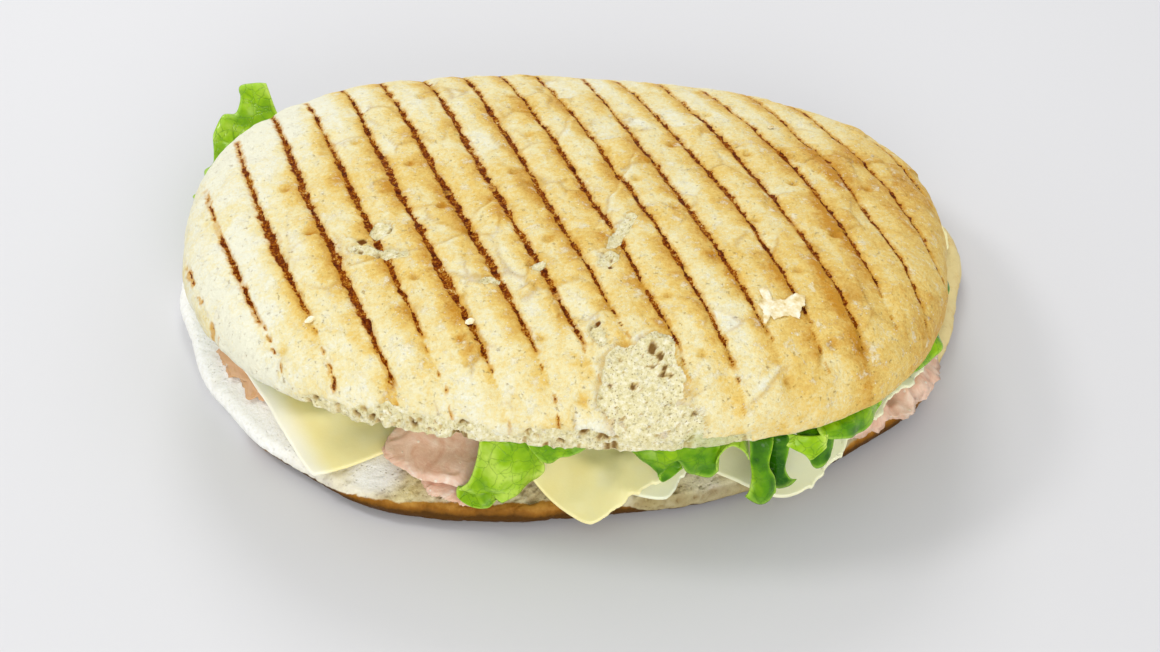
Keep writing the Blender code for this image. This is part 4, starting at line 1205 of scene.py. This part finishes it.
def buildLeaf(name, finish):
    ruffle, often, dark, inner = leafLook[name]
    seed = sum(map(ord, name)) % 97
    bodies = [leafSheet(leaves[name], ruffle, often, dark, seed)]
    if name in leafCurls:
        bodies.append(leafSheet(leafCurls[name], 0, often, inner, seed + 3))
    addPiece("panini_" + name, joined(bodies), finish, "lettuce", name)


innerLeaves = {
    "reach": 0.77,
    "sides": 620,
    "rows": 70,
    "dark": 0.85,
    "profile": ((0.3, 0), (0.7, 0), (0.92, 0), (0.985, 0.15), (1, 0.5), (0.985, 0.85), (0.9, 1), (0.5, 1)),
}


# The leaves packed under the lid: a wavy bundle between the layers below and the cut face of the lid,
# its edge drawn in and out in thin folds.
def buildInnerLeaves(stack, finish):
    shape = {**lidShape, "waves": lidShape["waves"] + ((11, 0.02, 0), (17, 0, 0.015))}
    share = outlineShare(lidShape, latticeX, latticeY)[0]
    rest = drape(layerFloor(stack, 5, 5), share < 0.84, 0.01)
    part, lift = smoothProfile(innerLeaves["profile"], (80, 14), np.linspace(0, 1, innerLeaves["rows"]))
    angle = roundAngles(innerLeaves["sides"])
    turn = stacked(70 * np.cos(angle), 70 * np.sin(angle), 22 * lift)
    folds = np.sin(angle * 46 + 5 * grain(turn, 24, 131, 2)) + grain(turn * (1, 1, 2.4), 6, 132, 3)
    folded = 1 + 0.014 * ease(0.86, 0.98, part) * folds
    x, y = outlinePoints(shape, angle, part * folded * innerLeaves["reach"])
    room = layerGap + lidShape["cutUnevenness"]
    low = readField(rest, x, y)
    points = stacked(x, y, low + np.clip(lidUnder(x, y) - room - low, 1, None) * lift)
    centre = lidShape["centre"]
    bottom, top = readField(rest, *centre), lidUnder(*centre) - room
    vein = 1 - ease(0, 0.16, cells(points, 5, 133)[1])
    values = {"rim": 0 * vein, "vein": vein, "dark": np.full_like(vein, innerLeaves["dark"])}
    body = ringBody(points, (*centre, bottom), (*centre, top), **values)
    addPiece("panini_lettuce_inner", body, finish, "lettuce", "lettuce_inner")


def lettuceFinish():
    sheet = Sheet("green_lettuce", Specular_IOR_Level=0.2, Subsurface_Weight=0.12, Subsurface_Scale=0.0015)
    sheet.set(Subsurface_Radius=(0.5, 1, 0.1))
    mottle = sheet.noise(8, 3, 0.5)
    fine = sheet.noise(1, 3, 0.6)
    vein = sheet.own("vein")
    warp = sheet.noise(10 / 3, 2, 0.5, output=1)
    warp = sheet.node("ShaderNodeVectorMath", {"operation": "SCALE"}, {0: warp, "Scale": 0.003})
    warped = sheet.node("ShaderNodeVectorMath", {"operation": "ADD"}, {0: sheet.place, 1: warp})
    net = sheet.ease(sheet.spots(4.8, "DISTANCE_TO_EDGE", warped), 0, 0.035)
    depth = sheet.own("dark") + (mottle - 0.5) * 0.7 + (fine - 0.5) * 0.12
    greens = ((0, (196, 222, 92)), (0.35, (146, 190, 14)), (0.7, (84, 142, 0)), (1, (34, 88, 0)))
    colour = sheet.blend(sheet.own("rim") * 0.5, sheet.ramp(depth, *greens), (176, 216, 80))
    colour = sheet.blend(vein * 0.4, colour, (70, 128, 0))
    colour = sheet.blend((1 - net) * 0.42, colour, (62, 116, 4))
    # Painted sheen: pale patches of highlight on the lighter parts of the leaves
    paintedSheen = sheet.ease(sheet.noise(7, 2, 0.5), 0.56, 0.72) * sheet.ease(depth, 0.85, 0.3)
    colour = sheet.blend(paintedSheen * 0.35, colour, (206, 232, 140))
    rough = 0.2 + (mottle - 0.5) * 0.2 + (fine - 0.5) * 0.06
    return sheet.finish(colour, rough, net * 0.15 + mottle * 0.5 + fine * 0.05 - vein * 0.25, 0.5)


# Loose crust flakes on the lid

flakes = {
    "centre": (52.9, -54.2),
    # Outline of the large one on the plan, and the small ones: plan centre, half sizes, heading
    "outline": (
        (48.8, -49.1), (49.7, -51.4), (48.4, -54.3), (49.5, -56.8), (49.4, -60.7), (50, -61), (51.5, -58),
        (52.4, -59), (56.9, -57), (59.4, -58), (60, -54.3), (61.2, -52.6), (61.4, -49.1), (58.9, -48.3),
        (56, -51.1), (52.3, -51.3), (50.9, -46.6), (49.1, -47.4),
    ),
    "small": (((-74, -53.8), (1.5, 1), 30), ((-29.8, -59.6), (1.3, 1.1), 0), ((57.5, 46.6), (1.3, 0.9), 60)),
    "sides": 260,
    "profile": (0.2, 0.4, 0.6, 0.75, 0.88, 0.95, 0.985, 1, 0.985, 0.95, 0.88, 0.75, 0.6, 0.4, 0.2),
    "lift": 0.35,
    "half": 0.16,
}


# Thin flakes: an outline drawn in to its centre in rings, below and above a gently curled middle.
def buildFlakes(finish):
    angle = roundAngles(flakes["sides"])[0]
    circle = stacked(2 * np.cos(angle), 2 * np.sin(angle), 0)
    corners = np.array(flakes["outline"] + flakes["outline"][:1])
    walk = np.append(0, np.cumsum(np.linalg.norm(np.diff(corners, axis=0), axis=1)))
    ragged = 0.35 * np.stack([grain(circle, 0.12, seed, 3) for seed in (141, 142)], 1)
    large = np.stack([np.interp(angle / math.tau * walk[-1], walk, column) for column in corners.T], 1)
    outlines = [(flakes["centre"], large + ragged)]
    for index, (centre, halves, heading) in enumerate(flakes["small"]):
        reach = 1 + 0.3 * grain(circle + index, 1.2, 151 + index, 3, 0.7)
        u, v = halves[0] * reach * np.cos(angle), halves[1] * reach * np.sin(angle)
        outlines.append((centre, centre + np.stack(turned(u, v, -heading * degree), 1)))
    part = np.array(flakes["profile"])[:, None]
    side = np.sign(np.arange(len(part)) - len(part) // 2)[:, None]
    bodies = []
    for index, (centre, outline) in enumerate(outlines):
        size = min(np.linalg.norm(outline - centre, axis=1).mean() / 4, 1)
        x, y = (centre[k] + part * (outline[:, k] - centre[k]) for k in range(2))
        flat = stacked(x, y, 0)
        curl = part**3 * (0.25 + 0.5 * grain(flat, 4, 161 + index, 2))
        curl = curl + 0.25 * grain(flat, 2.2, 171 + index, 3)
        half = flakes["half"] * (1 - part**8)
        height = lidTop(x, y) + flakes["lift"] + size * np.clip(curl, -0.1, None) + side * half
        low, high = height[[0, -1]].mean(axis=1)
        bodies.append(ringBody(stacked(x, y, height), (*centre, low), (*centre, high)))
    addPiece("panini_crust_flakes", joined(bodies), finish, "crust")


def flakeFinish():
    sheet = Sheet("crust_flake", Specular_IOR_Level=0.4)
    fine = sheet.noise(0.9, 3, 0.6)
    mottle = sheet.noise(3, 3, 0.6)
    tans = ((0.3, (208, 178, 110)), (0.46, (236, 218, 166)), (0.62, (252, 246, 222)))
    colour = sheet.ramp(mottle + (fine - 0.5) * 0.2, *tans)
    return sheet.finish(colour, 0.6 + (fine - 0.5) * 0.3, mottle * 0.3 + fine * 0.2, 0.6)


# Floor, light and camera

studio = {
    "floor": (218, 218, 220),
    "floorHalf": 3,
    "worldStrength": 0.7,
    # Place, width and power
    "lights": {
        "key": ((-0.85, 0.1, 1), 0.3, 3.7),
        "window": ((-0.15, 1.05, 0.95), 0.6, 5.4),
        "fill": ((0.15, -1.3, 0.5), 0.8, 7.8),
    },
    "cameraPlace": (0.002, -0.54533, 0.51567),
    "cameraRise": 43.42 * degree,
    "cameraRoll": 0.975 * degree,
    "lens": 76.54,
}


# Puts an object into the scene, with its three axes and its place in metres.
def setUp(thing, *columns):
    bpy.context.scene.collection.objects.link(thing)
    if columns:
        thing.matrix_world = Matrix([*np.stack(columns, 1).tolist(), (0, 0, 0, 1)])


def buildStudio():
    sheet = Sheet("pale_floor", Specular_IOR_Level=0.3)
    cloud = sheet.noise(120, 3, 0.5)
    fine = sheet.noise(2, 3, 0.6)
    colour = sheet.blend(cloud * 0.12, studio["floor"], (198, 199, 202))
    sheet.finish(colour, 0.7 + (fine - 0.5) * 0.2, fine * 0.1, 0.2)
    half = studio["floorHalf"]
    corners = [(-half, -half, 0), (half, -half, 0), (half, half, 0), (-half, half, 0)]
    mesh = bpy.data.meshes.new("floor")
    mesh.from_pydata(corners, [], [(0, 1, 2, 3)])
    mesh.materials.append(sheet.material)
    floor = bpy.data.objects.new("floor", mesh)
    setUp(floor)

    world = bpy.data.worlds.new("studio")
    world.use_nodes = True
    background = world.node_tree.nodes["Background"].inputs
    background["Color"].default_value = (1, 1, 1, 1)
    background["Strength"].default_value = studio["worldStrength"]
    bpy.context.scene.world = world
    for name, (place, size, power) in studio["lights"].items():
        light = bpy.data.lights.new(name, "AREA")
        light.shape = "DISK"
        light.size = size
        light.energy = power
        away = np.array(place) / np.linalg.norm(place)
        side = np.cross((0, 0, 1), away)
        side /= np.linalg.norm(side)
        setUp(bpy.data.objects.new(name, light), side, np.cross(away, side), away, place)

    camera = bpy.data.objects.new("camera", bpy.data.cameras.new("camera"))
    camera.data.lens = studio["lens"]
    camera.data.sensor_width = 36
    camera.data.sensor_fit = "HORIZONTAL"
    camera.data.clip_end = 20
    sine, cosine = math.sin(studio["cameraRise"]), math.cos(studio["cameraRise"])
    right, up = turned(np.array((1, 0, 0)), np.array((0, sine, cosine)), studio["cameraRoll"])
    setUp(camera, right, up, (0, -cosine, sine), studio["cameraPlace"])
    bpy.context.scene.camera = camera
    bpy.context.scene.view_settings.view_transform = "Standard"
    print("studio set")


def main():
    buildStudio()
    buildTopBun(crustFinish())
    buildBottomBun(crumbFinish())
    hamLook, cheeseLook, leafSurface = hamFinish(), cheeseFinish(), lettuceFinish()
    stack = np.full(latticeX.shape, -60.0)
    for name in ("ham_centre", "ham_left", "ham_right", "ham_lower"):
        stack = buildHam(name, stack, hamLook)
    for name in ("cheese_left", "cheese_right", "cheese_middle", "cheese_end"):
        stack = buildCheese(name, stack, cheeseLook)
    stack = buildHam("ham_folded", stack, hamLook)
    stack = buildCheese("cheese_front", stack, cheeseLook)
    buildInnerLeaves(stack, leafSurface)
    for name in leaves:
        buildLeaf(name, leafSurface)
    buildFlakes(flakeFinish())


main()
